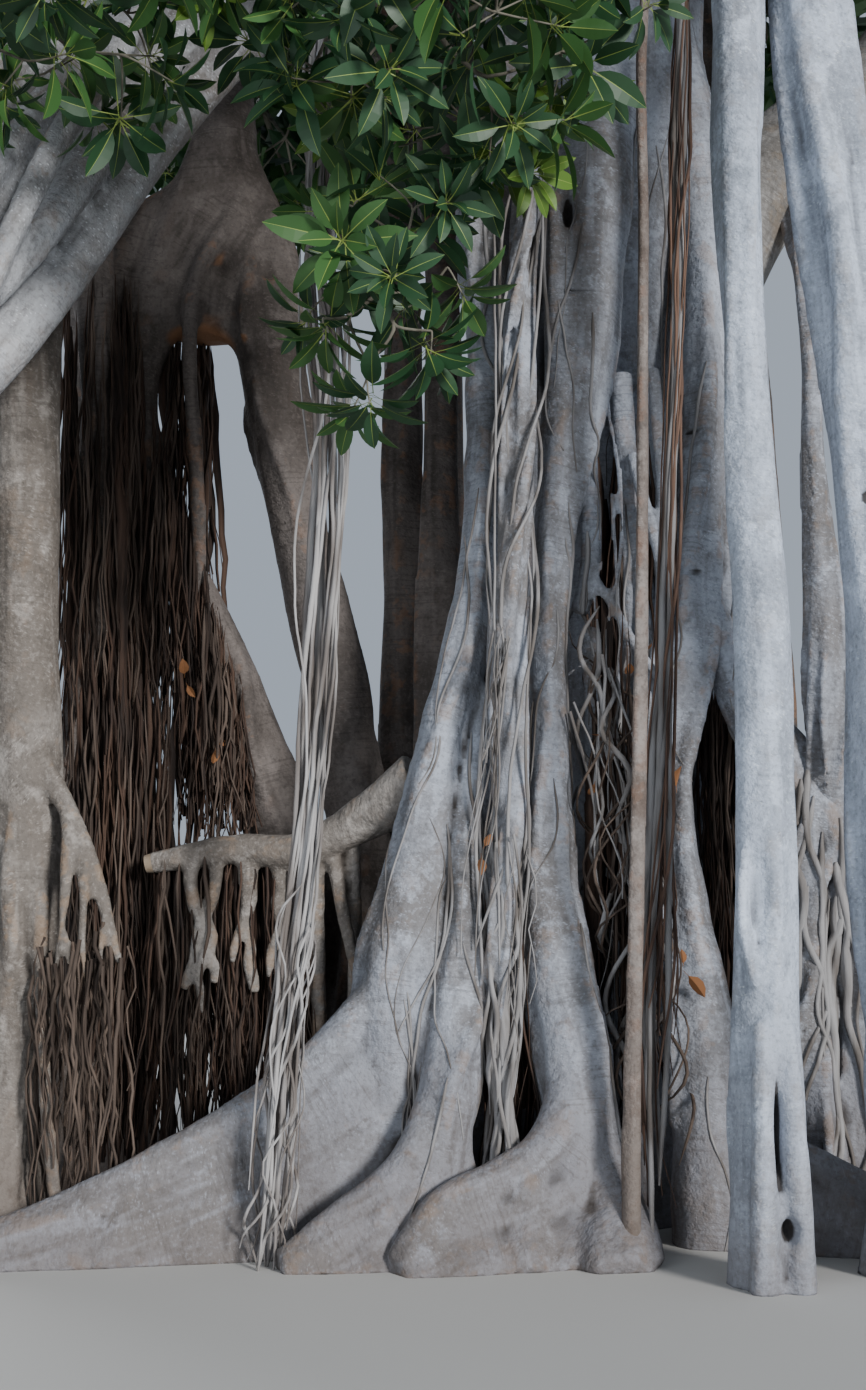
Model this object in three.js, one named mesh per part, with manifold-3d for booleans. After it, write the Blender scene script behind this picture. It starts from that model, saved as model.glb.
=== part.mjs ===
// Strangler fig: a whole tree, 15.9 m tall, with a trunk of fused roots, prop roots, hanging roots and a dense crown.
// Millimetres, +Z up. The origin is on the flat cut under the trunk, at ground level. -Y is the side that is seen first.
import * as THREE from "three";
import { mergeVertices } from "three/addons/utils/BufferGeometryUtils.js";
import Module from "manifold-3d";

const wasm = await Module();
wasm.setup();

// Driving dimensions
const GAP = 0.3; // clearance between two pieces that touch on the real tree
const FINEST = 0.05; // edges shorter than this are closed up
const UNDERCUT = 120; // how far a foot is drawn below the ground before the flat cut
const HEAD_HEIGHT = 7200; // top of the trunk, where it forks into boughs
const CROWN_LEAN = new THREE.Vector3(-350, 0, 0); // the crown's axis stands a little to the left of the trunk
const LOWER_RING = { radius: 5500, height: 8550, across: 3250, up: 2500, down: 1650, wave: 300 };
const UPPER_RING = { radius: 2750, height: 11700, across: 3050, up: 2500, down: 1900 };
const CROWN_TOP = { height: 13600, across: 2750, up: 2600, down: 1900 };
const CELL_MARGIN = 0.045; // how much nearer a point must be to its own mass than to the next
const LIMB_CLEARANCE = 40; // between a leaf and a limb it doesn't grow on

const BARK = { color: 0x9c958c, roughness: 0.85, metalness: 0 };
const ROOT = { color: 0x8b7c6d, roughness: 0.9, metalness: 0 };
const LEAF = { color: 0x2f5a2c, roughness: 0.5, metalness: 0 };

// Seeded random numbers from 0 to 1
function dice(seed) {
  let state = seed >>> 0;
  return () => {
    state = (state + 0x6d2b79f5) >>> 0;
    let t = Math.imul(state ^ (state >>> 15), 1 | state);
    t = (t + Math.imul(t ^ (t >>> 7), 61 | t)) ^ t;
    return ((t ^ (t >>> 14)) >>> 0) / 4294967296;
  };
}

// Solids
function solidOf(geometry) {
  const bare = geometry.clone();
  bare.deleteAttribute("normal");
  bare.deleteAttribute("uv");
  const merged = mergeVertices(bare, 1e-3);
  return new wasm.Manifold(
    new wasm.Mesh({
      numProp: 3,
      vertProperties: new Float32Array(merged.attributes.position.array),
      triVerts: new Uint32Array(merged.index.array),
    }),
  );
}

function geometryOf(solid) {
  const mesh = solid.getMesh();
  const positions = new Float32Array(mesh.numVert * 3);
  for (let i = 0; i < mesh.numVert; i++)
    positions.set(mesh.vertProperties.subarray(i * mesh.numProp, i * mesh.numProp + 3), i * 3);
  const geometry = new THREE.BufferGeometry();
  geometry.setAttribute("position", new THREE.BufferAttribute(positions, 3));
  geometry.setIndex(new THREE.BufferAttribute(new Uint32Array(mesh.triVerts), 1));
  geometry.computeVertexNormals();
  return geometry;
}

function joined(solids) {
  return solids.reduce((whole, next) => whole.add(next));
}

// The outer skin of the largest piece: loose scraps and sealed hollows are dropped. Points that only touch come
// apart when the rounded mesh is read back, so it is read back until nothing more falls off.
function largestPiece(solid) {
  let pieces = solid.decompose();
  for (;;) {
    const largest = pieces.reduce((best, next) => (next.volume() > best.volume() ? next : best));
    pieces = solidOf(geometryOf(largest.simplify(FINEST))).decompose();
    if (pieces.length === 1) return pieces[0];
  }
}

// A closed skin over sections that have the same number of points, counter-clockwise seen from the far end
function loft(sections) {
  const sides = sections[0].length;
  const points = sections.flat();
  const index = [];
  for (let ring = 0; ring < sections.length - 1; ring++)
    for (let k = 0; k < sides; k++) {
      const a = ring * sides + k;
      const b = ring * sides + ((k + 1) % sides);
      index.push(a, b, b + sides, a, b + sides, a + sides);
    }
  const middleOf = (section) =>
    section.reduce((sum, p) => sum.add(p), new THREE.Vector3()).divideScalar(section.length);
  const lastRing = (sections.length - 1) * sides;
  points.push(middleOf(sections[0]), middleOf(sections[sections.length - 1]));
  for (let k = 0; k < sides; k++) {
    const next = (k + 1) % sides;
    index.push(points.length - 2, next, k);
    index.push(points.length - 1, lastRing + k, lastRing + next);
  }
  const geometry = new THREE.BufferGeometry();
  geometry.setAttribute("position", new THREE.Float32BufferAttribute(points.flatMap((p) => p.toArray()), 3));
  geometry.setIndex(index);
  return geometry;
}

// A route is a list of stops [x, y, z, radius] from the foot to the tip
function curveOf(route) {
  return new THREE.CatmullRomCurve3(route.map(([x, y, z]) => new THREE.Vector3(x, y, z)), false, "centripetal");
}

function radiusAt(route, t) {
  const span = Math.min(t * (route.length - 1), route.length - 1 - 1e-9);
  const first = Math.floor(span);
  return THREE.MathUtils.lerp(route[first][3], route[first + 1][3], span - first);
}

// One tapering limb along a route; flutes are shallow ribs that run along it
function limb(route, { sides = 9, perSpan = 2, flutes = 0, fluteDepth = 0, twist = 0, grow = 0 } = {}) {
  const curve = curveOf(route);
  const rings = (route.length - 1) * perSpan;
  const sections = [];
  let normal = new THREE.Vector3(1, 0, 0);
  for (let ring = 0; ring <= rings; ring++) {
    const t = ring / rings;
    const tangent = curve.getTangent(t);
    const centre = curve.getPoint(t);
    if (ring === 0) centre.addScaledVector(tangent, -grow);
    if (ring === rings) centre.addScaledVector(tangent, grow);
    normal = normal.addScaledVector(tangent, -normal.dot(tangent)).normalize();
    const binormal = new THREE.Vector3().crossVectors(tangent, normal);
    const section = [];
    for (let k = 0; k < sides; k++) {
      const angle = (k / sides) * 2 * Math.PI + twist * ring;
      const rib = 1 + fluteDepth * Math.cos((flutes * k * 2 * Math.PI) / sides);
      const radius = radiusAt(route, t) * rib + grow;
      section.push(
        centre
          .clone()
          .addScaledVector(normal, radius * Math.cos(angle))
          .addScaledVector(binormal, radius * Math.sin(angle)),
      );
    }
    sections.push(section);
  }
  return solidOf(loft(sections));
}

// A plank root: stops [x, y, ridge height, half thickness] along the ground, from the trunk to its tip
function plankRoot(stops, { perSpan = 2, grow = 0 } = {}) {
  const outline = [
    [-1.45, 0],
    [-0.95, 0.7],
    [0, 1],
    [0.95, 0.7],
    [1.45, 0],
  ];
  const path = curveOf(stops.map(([x, y]) => [x, y, 0]));
  const rings = (stops.length - 1) * perSpan;
  const sections = [];
  for (let ring = 0; ring <= rings; ring++) {
    const t = ring / rings;
    const span = Math.min(t * (stops.length - 1), stops.length - 1 - 1e-9);
    const first = Math.floor(span);
    const height = THREE.MathUtils.lerp(stops[first][2], stops[first + 1][2], span - first) + grow;
    const half = THREE.MathUtils.lerp(stops[first][3], stops[first + 1][3], span - first) + grow;
    const along = path.getTangent(t);
    const centre = path.getPoint(t);
    if (ring === 0) centre.addScaledVector(along, -grow);
    if (ring === rings) centre.addScaledVector(along, grow);
    const across = new THREE.Vector3(along.y, -along.x, 0);
    sections.push(
      outline.map(([side, up]) =>
        centre
          .clone()
          .addScaledVector(across, side * half)
          .setZ(up === 0 ? -UNDERCUT : up * height),
      ),
    );
  }
  return solidOf(loft(sections));
}

const BELOW_GROUND = solidOf(new THREE.BoxGeometry(40000, 40000, 2000).translate(0, 0, -1000));

// Every node is built twice: as itself, and grown by the gap, to cut the nodes that meet it
const tree = new THREE.Group();
const placed = [];
const limbPoints = []; // points along every limb, with the radius there, that foliage keeps clear of

function boxesMeet(a, b) {
  return [0, 1, 2].every((axis) => a.min[axis] <= b.max[axis] && b.min[axis] <= a.max[axis]);
}

function addNode(name, look, build) {
  let solid = build(0).subtract(BELOW_GROUND);
  for (const other of placed)
    if (boxesMeet(solid.boundingBox(), other.grown.boundingBox())) solid = solid.subtract(other.grown);
  solid = largestPiece(solid);
  placed.push({ name, grown: build(GAP) });
  const mesh = new THREE.Mesh(geometryOf(solid), new THREE.MeshStandardMaterial(look));
  mesh.name = name;
  tree.add(mesh);
}

function remember(route) {
  const curve = curveOf(route);
  const steps = Math.ceil(curve.getLength() / 150);
  for (let i = 0; i <= steps; i++)
    limbPoints.push({ at: curve.getPoint(i / steps), radius: radiusAt(route, i / steps) });
}

function addLimb(name, look, route, options = {}) {
  remember(route);
  addNode(name, look, (grow) => limb(route, { ...options, grow }));
}

function footed(route) {
  const [x, y, , radius] = route[0];
  return [[x, y, -UNDERCUT, radius], ...route];
}

// The trunk: strands fused round a core that stands behind them
const CORE = [
  [120, 400, 0, 640],
  [140, 420, 900, 500],
  [150, 420, 2400, 420],
  [150, 380, 4200, 440],
  [120, 240, 5400, 560],
  [60, 120, 6200, 600],
  [0, 60, HEAD_HEIGHT, 430],
];
const FRONT_STRANDS = {
  longRoot: [
    [-880, -600, 300, 150],
    [-860, -600, 1120, 165],
    [-790, -570, 1550, 125],
    [-680, -500, 2150, 102],
    [-580, -450, 2500, 108],
    [-490, -370, 3120, 95],
    [-450, -280, 3900, 112],
    [-430, -180, 4850, 135],
    [-250, -40, 6000, 160],
  ],
  middleRoot: [
    [-760, -900, 100, 140],
    [-640, -800, 700, 132],
    [-590, -690, 1200, 100],
    [-560, -560, 1780, 82],
    [-450, -430, 2400, 60],
  ],
  frontRoot: [
    [-60, -820, 100, 180],
    [-110, -740, 820, 140],
    [-170, -670, 1130, 130],
    [-210, -590, 1560, 100],
    [-200, -520, 2150, 84],
    [-190, -460, 2800, 84],
    [-140, -400, 3380, 105],
    [-40, -330, 4000, 160],
    [20, -250, 4740, 200],
    [30, -80, 6000, 220],
  ],
  rightStem: [
    [500, -520, 200, 190],
    [480, -470, 880, 140],
    [420, -400, 1450, 92],
    [380, -340, 1950, 80],
    [460, -250, 2640, 104],
    [500, -190, 3100, 104],
    [560, -100, 3850, 112],
    [570, 0, 4850, 122],
    [330, 60, 6100, 150],
  ],
  rightLeg: [
    [1290, -60, 100, 220],
    [1240, -60, 1230, 165],
    [1100, -90, 1780, 140],
    [940, -120, 2100, 120],
    [740, -170, 2340, 88],
    [530, -220, 2820, 105],
  ],
  rightLattice: [
    [1040, -230, 200, 100],
    [1000, -210, 900, 66],
    [990, -160, 1900, 80],
  ],
  nicheFoot: [
    [120, -480, 100, 130],
    [110, -410, 850, 75],
    [100, -340, 1500, 58],
    [70, -200, 2200, 55],
  ],
  nicheRoot: [
    [270, -380, 1400, 48],
    [270, -330, 2250, 44],
    [220, -250, 3100, 42],
    [150, -160, 3700, 40],
  ],
};
const PLANK_ROOTS = {
  longRoot: [
    [-780, -560, 1340, 130],
    [-1000, -630, 1080, 135],
    [-1270, -700, 800, 130],
    [-1880, -860, 420, 115],
    [-2390, -1000, 210, 90],
    [-2830, -1100, 70, 55],
  ],
  middleRoot: [
    [-620, -760, 900, 130],
    [-800, -920, 480, 130],
    [-1060, -1030, 270, 100],
    [-1330, -1110, 80, 60],
  ],
  frontRoot: [
    [-60, -740, 960, 140],
    [-230, -900, 540, 150],
    [-450, -990, 400, 140],
    [-640, -1060, 330, 125],
    [-860, -1180, 70, 70],
  ],
  frontLobe: [
    [-60, -700, 700, 160],
    [20, -960, 300, 135],
    [60, -1160, 60, 80],
  ],
  rightStem: [
    [470, -460, 700, 140],
    [760, -600, 480, 130],
    [1080, -700, 320, 110],
    [1460, -820, 60, 60],
  ],
  rightLeg: [
    [1150, -80, 1500, 120],
    [1450, -150, 1000, 120],
    [1850, -260, 450, 110],
    [2250, -400, 80, 60],
  ],
};
const BACK_STRANDS = { count: 6, from: 12, to: 188, ring: 470, radius: 165, rootLength: 1500, rootHeight: 1350 };

// Strands and plank roots round the back, evenly spread with a little disorder
function backStrands() {
  const roll = dice(7);
  const found = [];
  for (let k = 0; k < BACK_STRANDS.count; k++) {
    const share = k / (BACK_STRANDS.count - 1);
    const angle = THREE.MathUtils.degToRad(THREE.MathUtils.lerp(BACK_STRANDS.from, BACK_STRANDS.to, share));
    const size = BACK_STRANDS.radius * (0.8 + 0.4 * roll());
    const twist = 0.5 * (roll() - 0.5);
    const stop = (reach, height, radius, turn) => [
      CORE[2][0] + reach * Math.cos(angle + turn),
      CORE[2][1] + reach * Math.sin(angle + turn),
      height,
      radius,
    ];
    const route = [
      stop(BACK_STRANDS.ring * 1.65, 0, size * 1.35, 0),
      stop(BACK_STRANDS.ring * 1.2, 1300, size, 0),
      stop(BACK_STRANDS.ring * 0.95, 3200, size * 0.8, twist),
      stop(BACK_STRANDS.ring * 0.9, 5000, size * 0.9, 0),
      stop(BACK_STRANDS.ring * 0.3, 6300, size, 0),
    ];
    const length = BACK_STRANDS.rootLength * (0.75 + 0.6 * roll());
    const bend = 0.5 * (roll() - 0.5);
    const plank = [0, 0.35, 0.7, 1].map((along) => [
      ...stop(BACK_STRANDS.ring * 1.2 + along * length, 0, 0, bend * along).slice(0, 2),
      BACK_STRANDS.rootHeight * (1 - along) ** 1.6 + 60,
      THREE.MathUtils.lerp(135, 60, along),
    ]);
    found.push({ route, plank });
  }
  return found;
}

const BACK = backStrands();
const TRUNK_ROUTES = [CORE, ...Object.values(FRONT_STRANDS), ...BACK.map((strand) => strand.route)];
const TRUNK_PLANKS = [...Object.values(PLANK_ROOTS), ...BACK.map((strand) => strand.plank)];

TRUNK_ROUTES.forEach(remember);
addNode("trunk", BARK, (grow) =>
  joined([
    ...TRUNK_ROUTES.map((route) =>
      limb(route[0][2] < 400 ? footed(route) : route, { sides: route === CORE ? 9 : 6, perSpan: 1, grow }),
    ),
    ...TRUNK_PLANKS.map((stops) => plankRoot(stops, { perSpan: 1, grow })),
  ]),
);

// The great leaning stem on the left, deeply fluted
addLimb(
  "leaning_stem",
  BARK,
  footed([
    [-4020, -1500, 0, 560],
    [-3900, -1450, 700, 450],
    [-3650, -1350, 2000, 420],
    [-3200, -1200, 3320, 410],
    [-2560, -1020, 4360, 400],
    [-2030, -860, 5150, 385],
    [-1500, -520, 5820, 360],
    [-700, -160, 6350, 330],
  ]),
  { sides: 15, perSpan: 1, flutes: 5, fluteDepth: 0.09 },
);

// Boughs: azimuth in degrees from +X towards +Y, seen from the crown's axis
const TRUNK_AXIS = new THREE.Vector3(0, 60, 0);
const LOWER_BOUGHS = [
  { name: "front_right", azimuth: -65 },
  { name: "right_front", azimuth: -22 },
  {
    name: "right",
    azimuth: 18,
    way: [
      [560, 20, 3830, 110],
      [690, 90, 4420, 185],
      [980, 250, 5030, 255],
      [1480, 400, 5480, 240],
      [2050, 600, 6150, 210],
    ],
  },
  { name: "back_right", azimuth: 62 },
  { name: "back", azimuth: 110 },
  { name: "left_back", azimuth: 165 },
  { name: "left_front", azimuth: 210 },
  { name: "front_left", azimuth: 252 },
];
const UPPER_BOUGHS = [
  { name: "upper_right", azimuth: 20 },
  { name: "upper_back", azimuth: 110 },
  { name: "upper_left", azimuth: 200 },
  { name: "upper_front", azimuth: 290 },
];
const LOWER_GROWTH = { from: 150, height: 6250, root: 280, tip: 120, sag: 260, sway: 500 };
const UPPER_GROWTH = { from: 170, height: 6850, root: 205, tip: 105, sag: -160, sway: 300 };
const TOP_GROWTH = { from: 0, height: 6850, root: 240, tip: 105, sag: 0, sway: 340 };
const BOUGH_ENTRY = 0.86; // how far out in its mass a bough ends, as a share of the mass's reach

function around(centre, azimuth, reach, height) {
  const angle = THREE.MathUtils.degToRad(azimuth);
  return new THREE.Vector3(centre.x + reach * Math.cos(angle), centre.y + reach * Math.sin(angle), height);
}

// The space that each mass of foliage keeps to: a ball with a flat underside, less what is nearer to another mass
const spaces = [
  ...LOWER_BOUGHS.map(({ name, azimuth }, k) => {
    const height = LOWER_RING.height + LOWER_RING.wave * (k % 2 ? 1 : -1);
    return { name, ...LOWER_RING, centre: around(CROWN_LEAN, azimuth, LOWER_RING.radius, height) };
  }),
  ...UPPER_BOUGHS.map(({ name, azimuth }) => {
    return { name, ...UPPER_RING, centre: around(CROWN_LEAN, azimuth, UPPER_RING.radius, UPPER_RING.height) };
  }),
  { name: "top", ...CROWN_TOP, centre: around(CROWN_LEAN, 0, 0, CROWN_TOP.height) },
];
const spaceOf = (name) => spaces.find((space) => space.name === name);

function reachIn(space, point) {
  const { x, y, z } = point.clone().sub(space.centre);
  return Math.hypot(x / space.across, y / space.across, z / (z > 0 ? space.up : space.down));
}

function insideSpace(space, point, limit = 1) {
  const own = reachIn(space, point);
  return own <= limit + 1e-6 && spaces.every((other) => other === space || reachIn(other, point) > own + CELL_MARGIN);
}

// The point of a space in a direction, at the given share of its reach or nearer if another mass is there
function pointToward(space, direction, share) {
  const scale = new THREE.Vector3(space.across, space.across, direction.z > 0 ? space.up : space.down);
  for (let reach = share; ; reach -= 0.02) {
    const point = direction.clone().multiply(scale).multiplyScalar(reach).add(space.centre);
    if (reach < 0.1 || insideSpace(space, point, share)) return point;
  }
}

// A bough from the trunk, or from the end of its given way, to where it enters its mass
function boughRoute({ azimuth, way = [] }, space, growth, roll) {
  const start = way.length
    ? new THREE.Vector3(...way[way.length - 1])
    : around(TRUNK_AXIS, azimuth, growth.from, growth.height);
  const root = way.length ? way[way.length - 1][3] : growth.root;
  const towards = start.clone().sub(space.centre);
  const end = space.centre.clone().addScaledVector(towards, BOUGH_ENTRY / reachIn(space, start));
  const side = new THREE.Vector3(-towards.y, towards.x, 0).normalize();
  const sway = growth.sway * (roll() - 0.5);
  const stops = [1 / 3, 2 / 3].map((share) => {
    const at = start.clone().lerp(end, share).addScaledVector(side, sway * (share < 0.5 ? 1 : -0.6));
    at.z -= growth.sag * 4 * share * (1 - share);
    return [...at.toArray(), THREE.MathUtils.lerp(root, growth.tip, share ** 0.8)];
  });
  return [...(way.length ? way : [[...start.toArray(), root]]), ...stops, [...end.toArray(), growth.tip]];
}

const boughs = new Map();
const boughRoll = dice(23);
const growBough = (bough, growth) => {
  const route = boughRoute(bough, spaceOf(bough.name), growth, boughRoll);
  boughs.set(bough.name, route);
  addLimb(`${bough.name}_bough`, BARK, route, { sides: 7, perSpan: 1 });
};
LOWER_BOUGHS.forEach((bough) => growBough(bough, LOWER_GROWTH));
growBough({ name: "top", azimuth: 0 }, TOP_GROWTH);
UPPER_BOUGHS.forEach((bough) => growBough(bough, UPPER_GROWTH));

// The stop on a bough's axis at a distance from the trunk's axis, for what hangs from it or props it up
function onBough(name, distance, radius) {
  const curve = curveOf(boughs.get(name));
  const points = curve.getPoints(200);
  const off = (p) => Math.abs(Math.hypot(p.x - TRUNK_AXIS.x, p.y - TRUNK_AXIS.y) - distance);
  const nearest = points.reduce((best, next) => (off(next) < off(best) ? next : best));
  return [...nearest.toArray(), radius];
}

function flared(route, flare = 1.4) {
  const [x, y, , radius] = route[0];
  return [[x, y, -UNDERCUT, radius * flare ** 1.4], [x, y, 60, radius * flare], [x, y, 400, radius], ...route.slice(1)];
}

// The dark arch on the left: one stem that parts into two legs
const ARCH = {
  top: [
    [-1800, 485, 4420, 170],
    [-1760, 485, 4640, 240],
    [-1745, 490, 4900, 225],
    [-1770, 500, 5250, 185],
    [-1790, 500, 5720, 165],
    [-1785, 505, 6360, 165],
    onBough("left_back", 1850, 160),
  ],
  web: [
    [-2180, 480, 4620, 170],
    [-1960, 480, 4570, 300],
    [-1680, 480, 4550, 310],
    [-1490, 480, 4540, 190],
  ],
  leftLeg: flared([
    [-1190, 620, 0, 180],
    [-1370, 640, 1460, 180],
    [-1530, 640, 2000, 165],
    [-1720, 620, 2500, 155],
    [-1900, 560, 2950, 130],
    [-2050, 500, 3290, 98],
    [-2130, 455, 3640, 76],
    [-2165, 455, 3970, 84],
    [-2150, 460, 4240, 140],
    [-2060, 480, 4560, 190],
  ]),
  rightLeg: flared([
    [-1050, 500, 0, 130],
    [-1070, 500, 1210, 125],
    [-1100, 500, 1960, 114],
    [-1180, 490, 2490, 165],
    [-1290, 480, 2940, 160],
    [-1420, 480, 3480, 136],
    [-1490, 470, 3840, 142],
    [-1525, 475, 4150, 170],
    [-1550, 480, 4510, 190],
  ]),
};
const WEB_ROOT = [
  [-1870, 520, 2900, 36],
  [-1860, 430, 3200, 40],
  [-1880, 400, 3670, 42],
  [-1910, 380, 4180, 42],
  [-1880, 350, 4490, 40],
  [-1810, 330, 4640, 45],
];
Object.values(ARCH).forEach(remember);
addNode("arch_stem", BARK, (grow) =>
  joined([
    ...Object.values(ARCH).map((route) => limb(route, { sides: 6, perSpan: 1, grow })),
    limb(WEB_ROOT, { sides: 4, perSpan: 1, grow }),
  ]),
);

// Columns: roots that reached the ground and thickened
const COLUMNS = {
  left_column: [
    [-2590, -560, 0, 200],
    [-2530, -550, 590, 160],
    [-2500, -540, 1240, 160],
    [-2490, -530, 1910, 165],
    [-2520, -520, 2590, 155],
    [-2520, -520, 3280, 150],
    [-2520, -560, 4080, 155],
    [-2400, -800, 4800, 160],
  ],
  right_column: [
    [600, -1350, 0, 155],
    [600, -1350, 730, 142],
    [590, -1350, 1250, 122],
    [592, -1350, 1900, 106],
    [600, -1350, 2620, 112],
    [570, -1350, 3150, 104],
    [550, -1350, 3900, 86],
    [540, -1350, 4600, 92],
    [550, -1350, 5400, 108],
    onBough("front_right", 1560, 105),
  ],
  far_right_column: [
    [1260, -1150, 0, 225],
    [1250, -1150, 700, 205],
    [1220, -1150, 1500, 190],
    [1150, -1150, 2650, 172],
    [1040, -1150, 3840, 155],
    [930, -1150, 4700, 140],
    [870, -1110, 5440, 138],
    onBough("right_front", 1050, 132),
  ],
  slim_left_stem: [
    [-2380, 90, 0, 95],
    [-2370, 110, 1460, 82],
    [-2370, 150, 2410, 76],
    [-2320, 200, 2890, 90],
    [-2310, 200, 3630, 98],
    [-2380, 210, 4620, 92],
    [-2400, 400, 6000, 80],
    onBough("left_back", 2480, 72),
  ],
  slim_right_stem: [
    [1110, -110, 1780, 88],
    [1085, -220, 2200, 88],
    [1080, -250, 2770, 72],
    [1035, -250, 3620, 42],
    [1030, -230, 4240, 36],
    [1000, 250, 5050, 36],
  ],
  back_stem_a: [
    [-930, 800, 0, 130],
    [-900, 800, 1960, 108],
    [-870, 800, 3300, 90],
    [-870, 760, 4600, 85],
    onBough("left_back", 950, 85),
  ],
  back_stem_b: [
    [-700, 720, 0, 110],
    [-690, 560, 1500, 95],
    [-680, 500, 2680, 90],
    [-670, 510, 3850, 88],
    [-650, 480, 5090, 80],
    [-560, 300, 6150, 80],
  ],
  back_column_a: [
    [1250, 1750, 0, 170],
    [1200, 1800, 2400, 130],
    [1080, 1780, 4700, 110],
    onBough("back_right", 2000, 100),
  ],
  back_column_b: [
    [-560, 2350, 0, 140],
    [-620, 2300, 2600, 105],
    [-640, 2180, 4900, 95],
    onBough("back", 2150, 85),
  ],
  back_column_c: [
    [-2350, 1500, 0, 150],
    [-2450, 1350, 2500, 115],
    [-2600, 1050, 5000, 100],
    onBough("left_back", 2950, 90),
  ],
  back_column_d: [
    [2350, 1250, 0, 150],
    [2250, 1100, 2500, 120],
    [2180, 850, 4700, 105],
    onBough("right", 2300, 95),
  ],
};
const FLARES = { right_column: 1.12, far_right_column: 1.2 };
for (const [name, route] of Object.entries(COLUMNS))
  addLimb(name, BARK, route[0][2] === 0 ? flared(route, FLARES[name]) : route, { sides: 6, perSpan: 1 });

// A dead side branch low on the left, with hanging stubs and slim roots under it
const STUB_BRANCH = [
  [-760, -380, 1990, 150],
  [-930, -320, 1880, 120],
  [-1110, -260, 1780, 90],
  [-1310, -220, 1690, 80],
  [-1640, -170, 1690, 70],
  [-2000, -150, 1630, 48],
];
const STUBS = { xs: [-1790, -1700, -1560, -1420, -1340], length: 520, radius: 34, y: -185, z: 1690 };
const PROP_ROOTS = [
  [
    [-1180, -240, 1740, 38],
    [-1050, -300, 1150, 30],
    [-860, -420, 700, 34],
  ],
  [
    [-1240, -230, 1720, 34],
    [-1220, -200, 900, 34],
    [-1190, -180, -UNDERCUT, 40],
  ],
  [
    [-1080, -220, 1800, 40],
    [-1060, -120, 900, 36],
    [-1060, -90, -UNDERCUT, 44],
  ],
];

function stubRoutes() {
  const roll = dice(5);
  return STUBS.xs.map((x) => {
    const length = STUBS.length * (0.6 + 0.7 * roll());
    return [
      [x, STUBS.y, STUBS.z, STUBS.radius],
      [x + 60 * (roll() - 0.5), STUBS.y, STUBS.z - length / 2, STUBS.radius * 0.8],
      [x + 120 * (roll() - 0.5), STUBS.y, STUBS.z - length, STUBS.radius * 0.35],
    ];
  });
}

addNode("stub_branch", BARK, (grow) =>
  joined([
    limb(STUB_BRANCH, { sides: 8, perSpan: 1, grow }),
    ...[...stubRoutes(), ...PROP_ROOTS].map((route) => limb(route, { sides: 4, perSpan: 1, grow })),
  ]),
);

// Bundles of hanging roots, lobed in section and twisted
const BUNDLES = {
  pale_root_bundle: [
    [-1390, -1060, -UNDERCUT, 85],
    [-1370, -1050, 120, 72],
    [-1310, -1040, 910, 62],
    [-1240, -1030, 1590, 62],
    [-1190, -1015, 2400, 76],
    [-1140, -1000, 3440, 90],
    [-1200, -1000, 4220, 84],
    [-1190, -960, 5420, 78],
    onBough("left_front", 1420, 76),
  ],
  trunk_root_bundle: [
    [-450, -830, 400, 60],
    [-440, -790, 900, 62],
    [-400, -735, 1500, 70],
    [-380, -650, 2550, 68],
    [-335, -600, 3300, 70],
    [-300, -540, 4200, 64],
    [-230, -380, 5100, 60],
    [-160, -120, 5800, 60],
  ],
  pole_root: [
    [85, -1080, -UNDERCUT, 46],
    [90, -1080, 310, 36],
    [120, -1090, 1470, 29],
    [150, -1100, 2700, 26],
    [175, -1100, 4200, 24],
    [220, -1080, 5460, 24],
    onBough("front_right", 1080, 24),
  ],
  pole_root_bundle: [
    [185, -990, -UNDERCUT, 78],
    [200, -930, 700, 62],
    [235, -850, 1600, 46],
    [290, -780, 2700, 32],
    [370, -720, 4200, 27],
    [400, -690, 5300, 27],
    onBough("front_right", 800, 27),
  ],
};
for (const [name, route] of Object.entries(BUNDLES)) {
  const lobes = name === "pole_root" ? { sides: 6 } : { sides: 9, flutes: 3, fluteDepth: 0.22, twist: 0.5 };
  addLimb(name, ROOT, route, { perSpan: 1, ...lobes });
}

// Curtains of fibrous roots: strands that hang from a header along the leg above them
const CURTAINS = {
  left_root_curtain: { from: [-2370, 250, 4330], to: [-2150, 400, 4280], foot: 150, strands: 4, radius: 36 },
  middle_root_curtain: { from: [-2110, 370, 3800], to: [-1640, 440, 2350], foot: 1650, strands: 5, radius: 32 },
  low_root_curtain: { from: [-1990, -60, 1640], to: [-1240, -120, 1690], foot: 160, strands: 5, radius: 32 },
};

function curtain({ from, to, foot, strands, radius }, seed, grow) {
  const roll = dice(seed);
  const start = new THREE.Vector3(...from);
  const end = new THREE.Vector3(...to);
  const parts = [limb([[...from, radius * 1.5], [...to, radius * 1.5]], { sides: 5, perSpan: 2, grow })];
  for (let k = 0; k < strands; k++) {
    const top = start.clone().lerp(end, (k + 0.5) / strands);
    const drop = (top.z - foot) * (0.75 + 0.25 * roll());
    const sway = () => radius * 3 * (roll() - 0.5);
    const stop = (share, size) => [top.x + sway() * share, top.y + sway() * share, top.z - drop * share, size];
    const route = [stop(0, radius), stop(0.35, radius * 0.9), stop(0.7, radius * 0.75), stop(1, radius * 0.4)];
    parts.push(limb(route, { sides: 4, perSpan: 1, grow }));
  }
  return joined(parts);
}
Object.entries(CURTAINS).forEach(([name, plan], k) => addNode(name, ROOT, (grow) => curtain(plan, 31 + k, grow)));

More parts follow.
